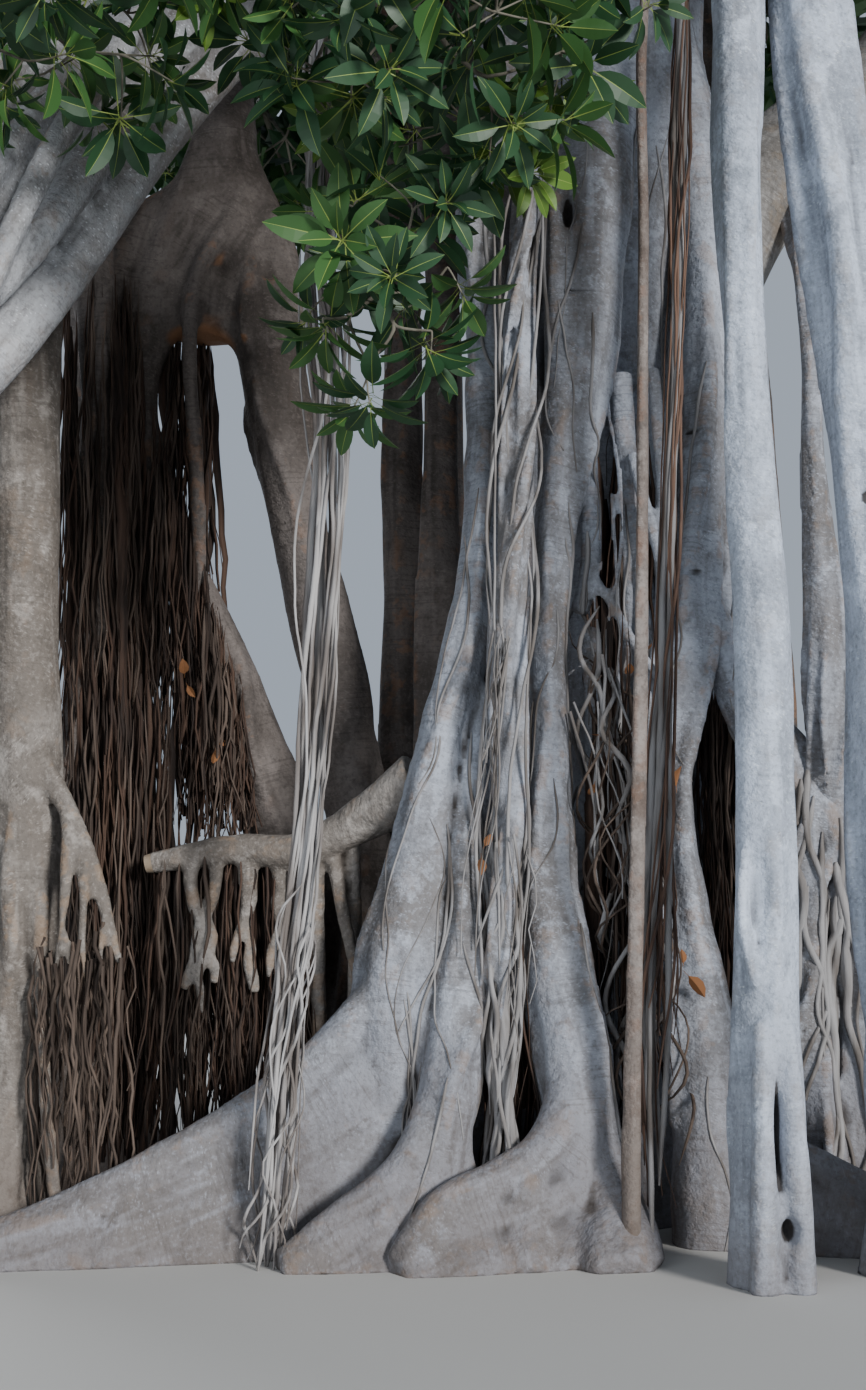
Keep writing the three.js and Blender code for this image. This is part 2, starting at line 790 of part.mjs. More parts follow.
// Foliage: a stem, a dense core where the mass is closed, and twigs with leaves on them
const CROWN_FOLIAGE = {
  core: [0.58, 0.8],
  twigs: 4,
  twigReach: [0.4, 0.8],
  twigRadius: 55,
  leavesPerTwig: 3,
  loneLeaves: 7,
  leaf: { length: 1150, width: 560, thickness: 60 }, // here one blade stands for a spray
};
const SPRAY_FOLIAGE = {
  twigs: 5,
  twigReach: [0, 0.75],
  twigRadius: 13,
  leavesPerTwig: 3,
  loneLeaves: 0,
  leaf: { length: 290, width: 115, thickness: 9 },
};
const SPRAYS = [
  {
    name: "left_spray",
    space: { centre: new THREE.Vector3(-2200, -2200, 4750), across: 700, up: 520, down: 520 },
    branch: [onBough("left_front", 2500, 62), [-2330, -1750, 6650, 48], [-2250, -2150, 5700, 34]],
  },
  {
    name: "middle_spray",
    space: { centre: new THREE.Vector3(-700, -2150, 4700), across: 850, up: 600, down: 600 },
    branch: [onBough("front_left", 2300, 62), [-820, -2300, 6500, 48], [-730, -2180, 5650, 34]],
  },
  {
    name: "pendant_spray",
    space: { centre: new THREE.Vector3(-900, -1900, 3780), across: 420, up: 560, down: 560 },
    branch: [onBough("front_left", 1750, 48), [-900, -1500, 6000, 36], [-950, -1420, 4900, 26], [-930, -1600, 4300, 20]],
  },
];

// A blade of eight faces from its root to its tip, flat side across the line given
function blade(root, heading, flat, length, width, thickness) {
  const side = new THREE.Vector3().crossVectors(heading, flat).normalize();
  const face = new THREE.Vector3().crossVectors(side, heading).normalize();
  const middle = root.clone().addScaledVector(heading, length * 0.55);
  const corners = [
    root,
    root.clone().addScaledVector(heading, length),
    middle.clone().addScaledVector(side, width / 2),
    middle.clone().addScaledVector(face, thickness / 2),
    middle.clone().addScaledVector(side, -width / 2),
    middle.clone().addScaledVector(face, -thickness / 2),
  ];
  const geometry = new THREE.BufferGeometry();
  geometry.setAttribute("position", new THREE.Float32BufferAttribute(corners.flatMap((p) => p.toArray()), 3));
  geometry.setIndex([0, 2, 3, 0, 3, 4, 0, 4, 5, 0, 5, 2, 1, 3, 2, 1, 4, 3, 1, 5, 4, 1, 2, 5]);
  return { corners, geometry };
}

function clearOfLimbs(points, margin) {
  return limbPoints.every(({ at, radius }) => points.every((p) => p.distanceTo(at) > radius + margin));
}

// A leaf as long as its space and the limbs near it allow; none where even a short one has no room
function leafIn(space, root, heading, flat, { length, width, thickness }) {
  for (const size of [1, 0.8, 0.62]) {
    const { corners, geometry } = blade(root, heading, flat, length * size, width * size, thickness);
    const free = corners.slice(1);
    if (free.every((p) => insideSpace(space, p)) && clearOfLimbs(free, LIMB_CLEARANCE)) return [solidOf(geometry)];
  }
  return [];
}

// Directions spread evenly over a ball
function evenDirections(count, roll) {
  const turn = roll() * 2 * Math.PI;
  return Array.from({ length: count }, (_, k) => {
    const up = 1 - (2 * (k + 0.5)) / count;
    const angle = turn + k * Math.PI * (3 - Math.sqrt(5));
    const flat = Math.sqrt(1 - up * up);
    return new THREE.Vector3(flat * Math.cos(angle), flat * Math.sin(angle), up);
  });
}

// An uneven ball that fills the middle of a space
function core(space, [least, most], roll) {
  const ball = mergeVertices(new THREE.IcosahedronGeometry(1, 1).deleteAttribute("normal").deleteAttribute("uv"));
  const at = ball.attributes.position;
  for (let i = 0; i < at.count; i++) {
    const direction = new THREE.Vector3().fromBufferAttribute(at, i).normalize();
    at.setXYZ(i, ...pointToward(space, direction, THREE.MathUtils.lerp(least, most, roll())).toArray());
  }
  return solidOf(ball);
}

function foliage(space, entry, plan, seed) {
  const roll = dice(seed);
  const { centre } = space;
  const halfway = new THREE.Vector3(...entry).lerp(centre, 0.5);
  const stem = [entry, [...halfway.toArray(), entry[3] * 0.8], [...centre.toArray(), entry[3] * 0.5]];
  const parts = [limb(stem, { sides: 6, perSpan: 1 })];
  if (plan.core) parts.push(core(space, plan.core, roll));
  for (const direction of evenDirections(plan.twigs, roll)) {
    const foot = pointToward(space, direction, plan.twigReach[0]);
    const end = pointToward(space, direction, plan.twigReach[1] * (0.9 + 0.2 * roll()));
    const along = end.clone().sub(foot).normalize();
    const waist = foot.clone().lerp(end, 0.5);
    waist.z -= 0.05 * foot.distanceTo(end);
    if (!clearOfLimbs([end, waist], plan.twigRadius * 2)) continue;
    const route = [foot, waist, end].map((p, k) => [...p.toArray(), plan.twigRadius * (1 - 0.25 * k)]);
    parts.push(limb(route, { sides: 3, perSpan: 1 }));
    const twig = curveOf(route);
    const level = new THREE.Vector3(0, 0, 1).cross(along).normalize();
    for (let n = 0; n < plan.leavesPerTwig; n++) {
      const share = 1 - 0.6 * (n / plan.leavesPerTwig);
      const root = twig.getPoint(share).addScaledVector(along, -plan.twigRadius);
      const across = level.clone().applyAxisAngle(along, THREE.MathUtils.degToRad(n * 137.5 + 40 * roll()));
      const tilt = n === 0 ? 0.2 : 0.75 + 0.4 * roll();
      const heading = along.clone().multiplyScalar(Math.cos(tilt)).addScaledVector(across, Math.sin(tilt));
      heading.z -= 0.15;
      heading.normalize();
      parts.push(...leafIn(space, root, heading, n === 0 ? across : along, plan.leaf));
    }
  }
  for (const direction of evenDirections(plan.loneLeaves, roll)) {
    const root = pointToward(space, direction, plan.core[0] * 0.75);
    const heading = root.clone().sub(centre).normalize();
    heading.add(new THREE.Vector3(roll() - 0.5, roll() - 0.5, roll() - 0.5).multiplyScalar(0.7)).normalize();
    const flat = new THREE.Vector3(roll() - 0.5, roll() - 0.5, roll() - 0.5);
    parts.push(...leafIn(space, root, heading, flat, { ...plan.leaf, length: plan.leaf.length * 1.5 }));
  }
  return joined(parts);
}

for (const { name, branch } of SPRAYS) addLimb(`${name}_branch`, BARK, branch, { sides: 6, perSpan: 1 });
for (const { name, space } of SPRAYS) spaces.push(Object.assign(space, { name }));

const MASSES = [
  ...[...boughs].map(([name, route]) => ({
    name: `${name}_mass`,
    space: spaceOf(name),
    entry: route[route.length - 1],
    plan: CROWN_FOLIAGE,
  })),
  ...SPRAYS.map(({ name, space, branch }) => ({ name, space, entry: branch[branch.length - 1], plan: SPRAY_FOLIAGE })),
];
MASSES.forEach(({ name, space, entry, plan }, k) =>
  addNode(name, LEAF, () => foliage(space, entry, plan, 101 + k)),
);

export default tree;
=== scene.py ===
# Strangler fig: bark, hanging roots and foliage of a whole tree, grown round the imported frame.
# Metres, +Z up. The origin is on the flat cut under the trunk. -Y is the side that is seen first.
import math

import bpy
import numpy as np
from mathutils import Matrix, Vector
from mathutils.bvhtree import BVHTree
from mathutils.kdtree import KDTree


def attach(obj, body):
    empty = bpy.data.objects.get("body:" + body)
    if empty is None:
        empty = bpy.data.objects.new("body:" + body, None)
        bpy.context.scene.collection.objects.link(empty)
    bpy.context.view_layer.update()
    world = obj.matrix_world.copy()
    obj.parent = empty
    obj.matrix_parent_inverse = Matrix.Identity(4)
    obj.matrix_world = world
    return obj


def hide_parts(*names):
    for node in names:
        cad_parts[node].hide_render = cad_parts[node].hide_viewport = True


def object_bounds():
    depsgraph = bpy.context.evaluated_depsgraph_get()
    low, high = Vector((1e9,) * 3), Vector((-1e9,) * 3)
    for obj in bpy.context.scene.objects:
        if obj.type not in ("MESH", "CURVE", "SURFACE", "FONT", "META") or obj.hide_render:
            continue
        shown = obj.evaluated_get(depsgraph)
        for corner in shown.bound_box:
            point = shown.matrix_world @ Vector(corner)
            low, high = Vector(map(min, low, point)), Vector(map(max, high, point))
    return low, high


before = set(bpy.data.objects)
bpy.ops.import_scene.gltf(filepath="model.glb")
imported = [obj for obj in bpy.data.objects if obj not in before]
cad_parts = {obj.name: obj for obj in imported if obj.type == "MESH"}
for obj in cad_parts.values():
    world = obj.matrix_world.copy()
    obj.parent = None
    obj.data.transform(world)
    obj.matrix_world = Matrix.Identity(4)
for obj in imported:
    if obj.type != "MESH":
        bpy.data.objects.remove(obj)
cad_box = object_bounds()

# Driving dimensions
UNDERCUT = 0.06  # how far a foot is drawn below the ground before it is pressed flat
HEAD_HEIGHT = 7.2  # top of the trunk, where it forks into boughs
CROWN_LEAN = np.array([-0.35, 0.0, 0.0])
LOWER_RING = {"radius": 5.5, "height": 8.55, "across": 3.25, "up": 2.5, "down": 1.65, "wave": 0.3}
UPPER_RING = {"radius": 2.75, "height": 11.7, "across": 3.05, "up": 2.5, "down": 1.9}
CROWN_TOP = {"height": 13.6, "across": 2.75, "up": 2.6, "down": 1.9}
CELL_MARGIN = 0.045
REACH_STEP = 0.02  # a point outside its space is brought in by this share of the space's reach at a time
LEAST_REACH = 0.1  # and no nearer to the centre than this share
GOLDEN_TURN = math.pi * (3 - math.sqrt(5))
DENT_SIGHT = 0.16  # a dent only reaches the skin that is this near its place
HOLE_STEEPNESS = 4  # how sharply a knot hole's rim turns in
HOLLOW_STEEPNESS = 2  # and a root's hollow flank
LINE_APART = 17.0  # between the marks of one line and the next, so that their patterns differ
SWING_APART = 3.7  # the same for the way that slim roots swing
LINE_STEP = 0.05  # between the points of a line
SLIM_STEP = 0.03  # a slim root's points are nearer to each other


def dice(seed):
    """Seeded random numbers from 0 to 1, the same ones that the solids were grown from"""
    mask = 0xFFFFFFFF
    state = seed

    def roll():
        nonlocal state
        state = (state + 0x6D2B79F5) & mask
        t = ((state ^ (state >> 15)) * (1 | state)) & mask
        t = ((t + (((t ^ (t >> 7)) * (61 | t)) & mask)) & mask) ^ t
        return (t ^ (t >> 14)) / 4294967296

    return roll


def mixed(a, b, share):
    return a + (b - a) * share


# Lines: a route is a list of stops (x, y, z, radius) from the foot to the tip
def along(stops, step=LINE_STEP):
    """Points (x, y, z, radius), about a step apart, on a centripetal curve through the stops"""
    p = np.array(stops, float)
    p = np.vstack([2 * p[0] - p[1], p, 2 * p[-1] - p[-2]])
    gaps = np.maximum(np.linalg.norm(np.diff(p[:, :3], axis=0), axis=1), 1e-4) ** 0.5
    rows = []
    for k in range(1, len(p) - 2):
        d0, d1, d2 = gaps[k - 1 : k + 2]
        a, b, c, d = p[k - 1 : k + 3]
        leave = ((b - a) / d0 - (c - a) / (d0 + d1) + (c - b) / d1) * d1
        arrive = ((c - b) / d1 - (d - b) / (d1 + d2) + (d - c) / d2) * d1
        count = max(2, math.ceil(np.linalg.norm((c - b)[:3]) / step))
        t = np.arange(count)[:, None] / count
        rise = 3 * (c - b) - 2 * leave - arrive
        turn = 2 * (b - c) + leave + arrive
        rows.append(b + t * leave + t**2 * rise + t**3 * turn)
    line = np.vstack([*rows, p[-2]])
    line[:, 3] = np.clip(line[:, 3], 0.6 * p[1:-1, 3].min(), None)
    return line


def sides_of(line):
    """The tangent, side and upper direction at each point of a line, with no twist"""
    tangent = np.gradient(line[:, :3], axis=0)
    tangent /= np.linalg.norm(tangent, axis=1)[:, None]
    side = np.zeros_like(tangent)
    last = np.array([1.0, 0.0, 0.0]) if abs(tangent[0, 0]) < 0.9 else np.array([0.0, 1.0, 0.0])
    for k, t in enumerate(tangent):
        last = last - t * (last @ t)
        last /= np.linalg.norm(last)
        side[k] = last
    return tangent, side, np.cross(tangent, side)


def footed(stops):
    """A route that starts below the ground"""
    x, y, z, radius = stops[0]
    return [(x, y, -UNDERCUT, radius), *(stops if z > 0 else stops[1:])]


def flared(stops, flare=1.4):
    """A route with a foot that widens into the ground"""
    x, y, _, radius = stops[0]
    foot = [(x, y, -UNDERCUT, radius * flare**1.4), (x, y, 0.06, radius * flare), (x, y, 0.4, radius)]
    return [*foot, *stops[1:]]


def strands_around(stops, count, ring, radius, turns=0.5, seed=0, step=LINE_STEP, span=(0, 1), stray=0.4):
    """Lines that run along a route on a ring round it, a share of its radius wide, and wind round it"""
    rng = np.random.default_rng(seed)
    spine = along(stops, step)
    _, side, upper = sides_of(spine)
    found = []
    for k in range(count):
        first, last = (int(share * (len(spine) - 1)) for share in span)
        first += int(rng.uniform(0, stray) * 0.3 * (last - first))
        last -= int(rng.uniform(0, stray) * 0.3 * (last - first))
        part = slice(first, last + 1)
        share = np.linspace(0, 1, last + 1 - first)
        phases = rng.uniform(0, 2 * math.pi, 3)
        winding = np.sin(share * rng.uniform(8, 20) + phases[0])
        angle = 2 * math.pi * (k / count + turns * share) + stray * winding
        standing = np.sin(share * rng.uniform(6, 14) + phases[1])
        reach = ring * spine[part, 3] * (1 + stray * standing)
        way = np.cos(angle)[:, None] * side[part] + np.sin(angle)[:, None] * upper[part]
        line = spine[part].copy()
        line[:, :3] += reach[:, None] * way
        taper = np.minimum(1, np.minimum(share, 1 - share) * 12 + 0.35)
        line[:, 3] = radius * rng.uniform(0.65, 1.35) * taper * (1 + 0.15 * np.sin(share * 17 + phases[2]))
        found.append(line)
    return found


# Trees of nodes
class Net:
    """Adds nodes to a tree: an input is given a number, a name or another node's output"""

    def __init__(self, tree):
        self.tree = tree

    def add(self, kind, *places, pick=0, setup=None, **named):
        node = self.tree.nodes.new(kind)
        for key, value in (setup or {}).items():
            setattr(node, key, value)
        live = [s for s in node.inputs if s.enabled]
        wanted = list(zip(live, places))
        for key, value in named.items():
            wanted.append((next(s for s in live if s.name == key.replace("_", " ")), value))
        for socket, value in wanted:
            if isinstance(value, bpy.types.NodeSocket):
                self.tree.links.new(value, socket)
            elif value is not None:
                socket.default_value = value
        outs = [s for s in node.outputs if s.enabled]
        return outs[pick] if outs else node

    def math(self, operation, *values):
        return self.add("ShaderNodeMath", *values, setup={"operation": operation})

    def vector(self, operation, *values):
        return self.add("ShaderNodeVectorMath", *values, setup={"operation": operation})

    def scaled(self, vector, scale):
        return self.add("ShaderNodeVectorMath", vector, Scale=scale, setup={"operation": "SCALE"})

    def thrice(self, value):
        """A vector that has the value on each axis"""
        return self.add("ShaderNodeCombineXYZ", value, value, value)

    def noise(self, vector, scale, detail=2.0, seed=0, roughness=0.5, stretch=(1, 1, 1), pick=0, w=None):
        """Noise at a place, with a seed, or a fourth coordinate that comes from another node"""
        if stretch != (1, 1, 1):
            vector = self.vector("MULTIPLY", vector, stretch)
        setup = {"noise_dimensions": "3D" if w is None else "4D"}
        if w is None:
            named = {"Vector": self.vector("ADD", vector, (17.3 * seed, 5.1 * seed, 9.7 * seed))}
        else:
            named = {"Vector": vector, "W": w}
        named.update(Scale=scale, Detail=detail, Roughness=roughness)
        return self.add("ShaderNodeTexNoise", pick=pick, setup=setup, **named)

    def levels(self, value, low, high):
        """Runs softly from 0 at the low value to 1 at the high one"""
        setup = {"interpolation_type": "SMOOTHSTEP"}
        return self.add("ShaderNodeMapRange", value, low, high, 0.0, 1.0, setup=setup)

    def mix(self, factor, a, b):
        return self.add("ShaderNodeMix", factor, a, b, setup={"data_type": "RGBA"})


# Each value's kind of input: an empty name stands for a material, and an empty list for a collection
SOCKETS = {
    int: "NodeSocketInt",
    float: "NodeSocketFloat",
    str: "NodeSocketMaterial",
    list: "NodeSocketCollection",
}


def geometry_tree(name, sizes, make, tints=()):
    """A tree with named inputs that ends in Realize Instances and Set Material.
    Each tint is one more material's label, the attribute that deals it out and the value it has there"""
    tree = bpy.data.node_groups.new(name, "GeometryNodeTree")
    tree.interface.new_socket("Geometry", in_out="INPUT", socket_type="NodeSocketGeometry")
    materials = {label: "" for label in ("Material", *(tint[0] for tint in tints))}
    for label, value in {**sizes, **materials}.items():
        item = tree.interface.new_socket(label, in_out="INPUT", socket_type=SOCKETS[type(value)])
        if isinstance(value, (int, float)):
            item.default_value = value
    tree.interface.new_socket("Geometry", in_out="OUTPUT", socket_type="NodeSocketGeometry")
    net = Net(tree)
    entry = tree.nodes.new("NodeGroupInput")
    given = {s.name: s for s in entry.outputs if s.name}
    whole = net.add("GeometryNodeRealizeInstances", make(net, given))
    whole = net.add("GeometryNodeSetMaterial", whole, Material=given["Material"])
    for label, dealt_by, value in tints:
        setup = {"operation": "EQUAL"}
        chosen = net.add("FunctionNodeCompare", attribute(net, dealt_by), value, Epsilon=0.2, setup=setup)
        whole = net.add("GeometryNodeSetMaterial", whole, chosen, given[label])
    leave = tree.nodes.new("NodeGroupOutput")
    tree.links.new(whole, leave.inputs[0])
    return tree


def attribute(net, name, kind="FLOAT"):
    return net.add("GeometryNodeInputNamedAttribute", Name=name, setup={"data_type": kind})


def sweep(net, given):
    """Round limbs along the loose edges, with their thickness; faces pass through as they are"""
    neighbours = net.add("GeometryNodeInputMeshEdgeNeighbors")
    loose = net.add("FunctionNodeCompare", neighbours, 0, setup={"data_type": "INT", "operation": "EQUAL"})
    lines = net.add("GeometryNodeMeshToCurve", given["Geometry"], loose)
    place = net.vector("DIVIDE", net.add("GeometryNodeInputPosition"), net.thrice(given["Wander Size"]))
    swing = net.noise(place, 1.0, w=attribute(net, "strand"), pick=1)
    swing = net.vector("SUBTRACT", swing, (0.5, 0.5, 0.5))
    swing = net.scaled(swing, net.math("MULTIPLY", given["Wander"], attribute(net, "loose")))
    lines = net.add("GeometryNodeSetPosition", lines, Offset=swing)
    ring = net.add("GeometryNodeCurvePrimitiveCircle", given["Sides"], Radius=1.0)
    tubes = net.add("GeometryNodeCurveToMesh", lines, ring, attribute(net, "thickness"), True)
    skins = net.add("GeometryNodeDeleteGeometry", given["Geometry"], loose, setup={"domain": "EDGE"})
    joined = net.add("GeometryNodeJoinGeometry", tubes)
    net.tree.links.new(skins, joined.node.inputs[0])
    return joined


def relief(net, given):
    """Lumps, lengthwise ribs and crosswise folds, the flat cut at the ground, and how hollow each place is"""
    place = net.add("GeometryNodeInputPosition")
    normal = net.add("GeometryNodeInputNormal")
    out = attribute(net, "out", "FLOAT_VECTOR")
    far = attribute(net, "far")

    def swell(amount, size, across, lengthwise, detail):
        spot = net.vector("DIVIDE", out, net.thrice(given[size]))
        ahead = net.math("DIVIDE", net.math("MULTIPLY", far, lengthwise), given[size])
        height = net.noise(spot, across, detail=detail, w=net.math("ADD", ahead, given["Seed"]))
        return net.math("MULTIPLY", net.math("SUBTRACT", height, 0.5), given[amount])

    lump_place = net.vector("DIVIDE", place, net.thrice(given["Lump Size"]))
    lumps = net.noise(lump_place, 1.0, detail=2.0, w=given["Seed"])
    height = net.math("MULTIPLY", net.math("SUBTRACT", lumps, 0.5), given["Lumps"])
    height = net.math("ADD", height, swell("Ribs", "Rib Width", 1.0, 0.08, 2.0))
    height = net.math("ADD", height, swell("Folds", "Fold Height", 0.25, 1.0, 1.5))
    height = net.add("GeometryNodeBlurAttribute", height, 4, setup={"data_type": "FLOAT"})
    skin = net.add("GeometryNodeSetPosition", given["Geometry"], Offset=net.scaled(normal, height))
    xyz = net.add("ShaderNodeSeparateXYZ", place).node.outputs
    level = net.add("ShaderNodeCombineXYZ", xyz[0], xyz[1], net.math("MAXIMUM", xyz[2], 0.0))
    skin = net.add("GeometryNodeSetPosition", skin, Position=level)
    skin = net.add("GeometryNodeMergeByDistance", skin, Distance=given["Weld"])
    blurred = net.add("GeometryNodeBlurAttribute", place, given["Blur"], setup={"data_type": "FLOAT_VECTOR"})
    hollow = net.vector("DOT_PRODUCT", net.vector("SUBTRACT", blurred, place), normal)
    skin = net.add("GeometryNodeStoreNamedAttribute", skin, Name="hollow", Value=hollow)
    return net.add("GeometryNodeSetShadeSmooth", skin)


SWEEP = geometry_tree("sweep along lines", {"Sides": 8, "Wander": 0.0, "Wander Size": 0.5}, sweep)
RELIEF_SIZES = {
    "Lumps": 0.03,
    "Lump Size": 0.35,
    "Ribs": 0.0,
    "Rib Width": 0.09,
    "Folds": 0.0,
    "Fold Height": 0.05,
    "Seed": 0.0,
    "Weld": 0.0005,
    "Blur": 10,
}
RELIEF = geometry_tree("bark relief", RELIEF_SIZES, relief)


def use_tree(obj, tree, **sizes):
    """Adds a tree to an object's modifiers, with its inputs set"""
    modifier = obj.modifiers.new(tree.name, "NODES")
    modifier.node_group = tree
    wanted = {key.replace("_", " "): value for key, value in sizes.items()}
    for item in tree.interface.items_tree:
        if item.in_out == "INPUT" and item.name in wanted:
            modifier[item.identifier] = wanted.pop(item.name)
    if wanted:
        raise KeyError(f"no such input: {sorted(wanted)}")


def settled(obj):
    """The object with its modifiers turned into plain mesh"""
    depsgraph = bpy.context.evaluated_depsgraph_get()
    made = obj.evaluated_get(depsgraph)
    mesh = bpy.data.meshes.new_from_object(made, preserve_all_data_layers=True, depsgraph=depsgraph)
    obj.modifiers.clear()
    obj.data = mesh
    return obj


def mark(mesh, **point_values):
    for key, values in point_values.items():
        values = np.asarray(values, np.float32)
        kind, field = ("FLOAT_VECTOR", "vector") if values.ndim == 2 else ("FLOAT", "value")
        mesh.attributes.new(key, kind, "POINT").data.foreach_set(field, values.ravel())


def object_of(name, vertices, edges=(), faces=(), **point_values):
    mesh = bpy.data.meshes.new(name)
    mesh.from_pydata(np.asarray(vertices).tolist(), edges, faces)
    mark(mesh, **point_values)
    obj = bpy.data.objects.new(name, mesh)
    bpy.context.scene.collection.objects.link(obj)
    return obj


def lines_object(name, lines, skins=()):
    """One object that holds lines as loose edges, with their thickness, and closed skins as faces"""
    vertices, edges, faces, thickness, strand, loose = [], [], [], [], [], []
    start = 0
    for k, line in enumerate(lines):
        count = len(line)
        vertices.append(line[:, :3])
        thickness.append(line[:, 3])
        strand.append(np.full(count, k * SWING_APART))
        share = np.linspace(0, 1, count)
        loose.append(np.minimum(1, 8 * np.minimum(share, 1 - share)))
        edges += [(start + i, start + i + 1) for i in range(count - 1)]
        start += count
    for points, polygons in skins:
        vertices.append(points)
        for values in (thickness, strand, loose):
            values.append(np.zeros(len(points)))
        faces += [[start + i for i in polygon] for polygon in polygons]
        start += len(points)
    return object_of(name, np.vstack(vertices), edges, faces, thickness=np.hstack(thickness),
                     strand=np.hstack(strand), loose=np.hstack(loose))


# Finishes
EARTH = (0.105, 0.078, 0.062)
# Painted shade: the near black that creases are darkened to
PAINTED_CREASE_SHADE = (0.022, 0.016, 0.012)
FOOT_TINT = 0.62  # how far a foot takes the colour of earth
SEAM_LEVEL = 0.48  # what a pattern settles to where one line's meets the next


def material(name):
    made = bpy.data.materials.new(name)
    made.use_nodes = True
    made.node_tree.nodes.clear()
    return made


def output(net, shader):
    net.tree.links.new(shader, net.tree.nodes.new("ShaderNodeOutputMaterial").inputs["Surface"])


class BarkNet(Net):
    """The nodes of one bark: layers of colour, laid one by one over cloudy patches of two tones"""

    def __init__(self, tree, pale, deep):
        super().__init__(tree)
        self.place = self.add("ShaderNodeTexCoord", pick=3)
        self.out = self.add("ShaderNodeAttribute", pick=1, setup={"attribute_name": "out"})
        self.far = self.add("ShaderNodeAttribute", pick=2, setup={"attribute_name": "far"})
        self.hollow = self.add("ShaderNodeAttribute", pick=2, setup={"attribute_name": "hollow"})
        seam = self.add("ShaderNodeAttribute", pick=2, setup={"attribute_name": "seam"})
        self.whole = self.math("SUBTRACT", 1.0, self.levels(seam, 0.0, 0.7))
        self.pale = pale
        self.dark = tuple(0.5 * c for c in deep)
        self.light = tuple(min(1, 1.35 * c) for c in pale)
        self.clouds = self.levels(self.noise(self.place, 1.3, detail=3.0, seed=1, roughness=0.65), 0.36, 0.64)
        self.patches = self.noise(self.place, 5.2, detail=4.0, seed=3, roughness=0.7)
        self.colour = self.mix(self.clouds, (*deep, 1), (*pale, 1))

    def strand_place(self, across, lengthwise, seed):
        """A place for a pattern that runs along each strand"""
        ahead = self.math("MULTIPLY_ADD", self.far, lengthwise, 11.0 * seed)
        return self.vector("ADD", self.scaled(self.out, across), self.scaled((0.48, 0.62, 0.62), ahead))

    def strand_noise(self, across, lengthwise, detail, seed, roughness=0.55):
        """Noise along each strand, which settles to one level at the seams"""
        found = self.noise(self.strand_place(across, lengthwise, seed), 1.0, detail, roughness=roughness)
        return self.math("MULTIPLY_ADD", self.math("SUBTRACT", found, SEAM_LEVEL), self.whole, SEAM_LEVEL)

    def lay(self, share, strength, tone):
        self.colour = self.mix(self.math("MULTIPLY", share, strength), self.colour, (*tone, 1))

    def streaks(self):
        """Dark and light streaks along each strand, and blotches"""
        self.lay(self.levels(self.strand_noise(11.0, 0.9, 3.0, 2), 0.48, 0.7), 0.55, self.dark)
        self.lay(self.levels(self.strand_noise(16.0, 1.6, 1.0, 12), 0.55, 0.72), 0.4, self.light)
        self.lay(self.levels(self.patches, 0.53, 0.66), 0.5, self.light)
        self.lay(self.levels(self.patches, 0.45, 0.33), 0.45, self.dark)

    def wrinkles(self, strength):
        """Wrinkles across each strand, in some places wide and in others fine"""
        where = self.noise(self.place, 2.2, detail=1.0, seed=8)
        wide = self.levels(self.strand_noise(4.0, 30.0, 3.0, 4, roughness=0.65), 0.53, 0.66)
        self.lay(self.math("MULTIPLY", wide, self.levels(where, 0.42, 0.62)), 0.3 * strength, self.dark)
        fine = self.levels(self.strand_noise(3.0, 75.0, 2.0, 14, roughness=0.6), 0.54, 0.64)
        self.lay(self.math("MULTIPLY", fine, self.levels(where, 0.58, 0.42)), 0.45 * strength, self.dark)

    def grain(self):
        grain = self.noise(self.place, 48.0, detail=2.0, seed=16, roughness=0.7)
        self.lay(self.levels(grain, 0.52, 0.68), 0.35, self.dark)
        self.lay(self.levels(grain, 0.46, 0.32), 0.25, self.light)

    def pores(self, strength):
        """Pale pores on the lighter blotches"""
        cells = self.strand_place(40.0, 80.0, 5)
        cells = self.add("ShaderNodeTexVoronoi", Vector=cells, Scale=1.0, Randomness=1.0)
        dots = self.math("MULTIPLY", self.levels(cells, 0.3, 0.12), self.levels(self.patches, 0.45, 0.55))
        tone = tuple(min(1, 1.8 * c) for c in self.pale)
        self.lay(self.math("MULTIPLY", dots, self.whole), strength, tone)

    def wear_and_painted_glow(self, scuff_and_glow_colour, scuffs, hollow_scale, painted_glow):
        """Scuffs on ridges and on what faces up, and a painted warm glow in the same colour on what faces
        down
        """
        facing = self.add("ShaderNodeSeparateXYZ", self.add("ShaderNodeNewGeometry", pick=1)).node.outputs[2]
        worn = self.levels(self.noise(self.place, 7.0, detail=3.0, seed=6, roughness=0.75), 0.5, 0.6)
        ridge = self.levels(self.math("MULTIPLY", self.hollow, -hollow_scale), 0.1, 0.6)
        ridge = self.math("MAXIMUM", ridge, self.levels(facing, 0.35, 0.8))
        self.lay(self.math("MULTIPLY", ridge, worn), scuffs, scuff_and_glow_colour)
        # Painted light: a warm glow in the scuff colour on what faces down
        if painted_glow:
            self.lay(self.levels(facing, -0.4, -0.8), painted_glow, scuff_and_glow_colour)

    def earth_and_crease_shade(self, hollow_scale):
        """Earth on the foot, and painted shade that darkens the creases"""
        ground = self.add("ShaderNodeSeparateXYZ", self.place).node.outputs[2]
        patchy = self.math("MULTIPLY_ADD", self.clouds, -0.6, ground)
        self.lay(self.levels(patchy, 0.9, -0.4), FOOT_TINT, EARTH)
        # Painted shade: the hollower a place, the nearer it is darkened to the crease colour
        crease_shade = self.levels(self.math("MULTIPLY", self.hollow, hollow_scale), 0.24, 0.95)
        self.lay(crease_shade, 0.9, PAINTED_CREASE_SHADE)


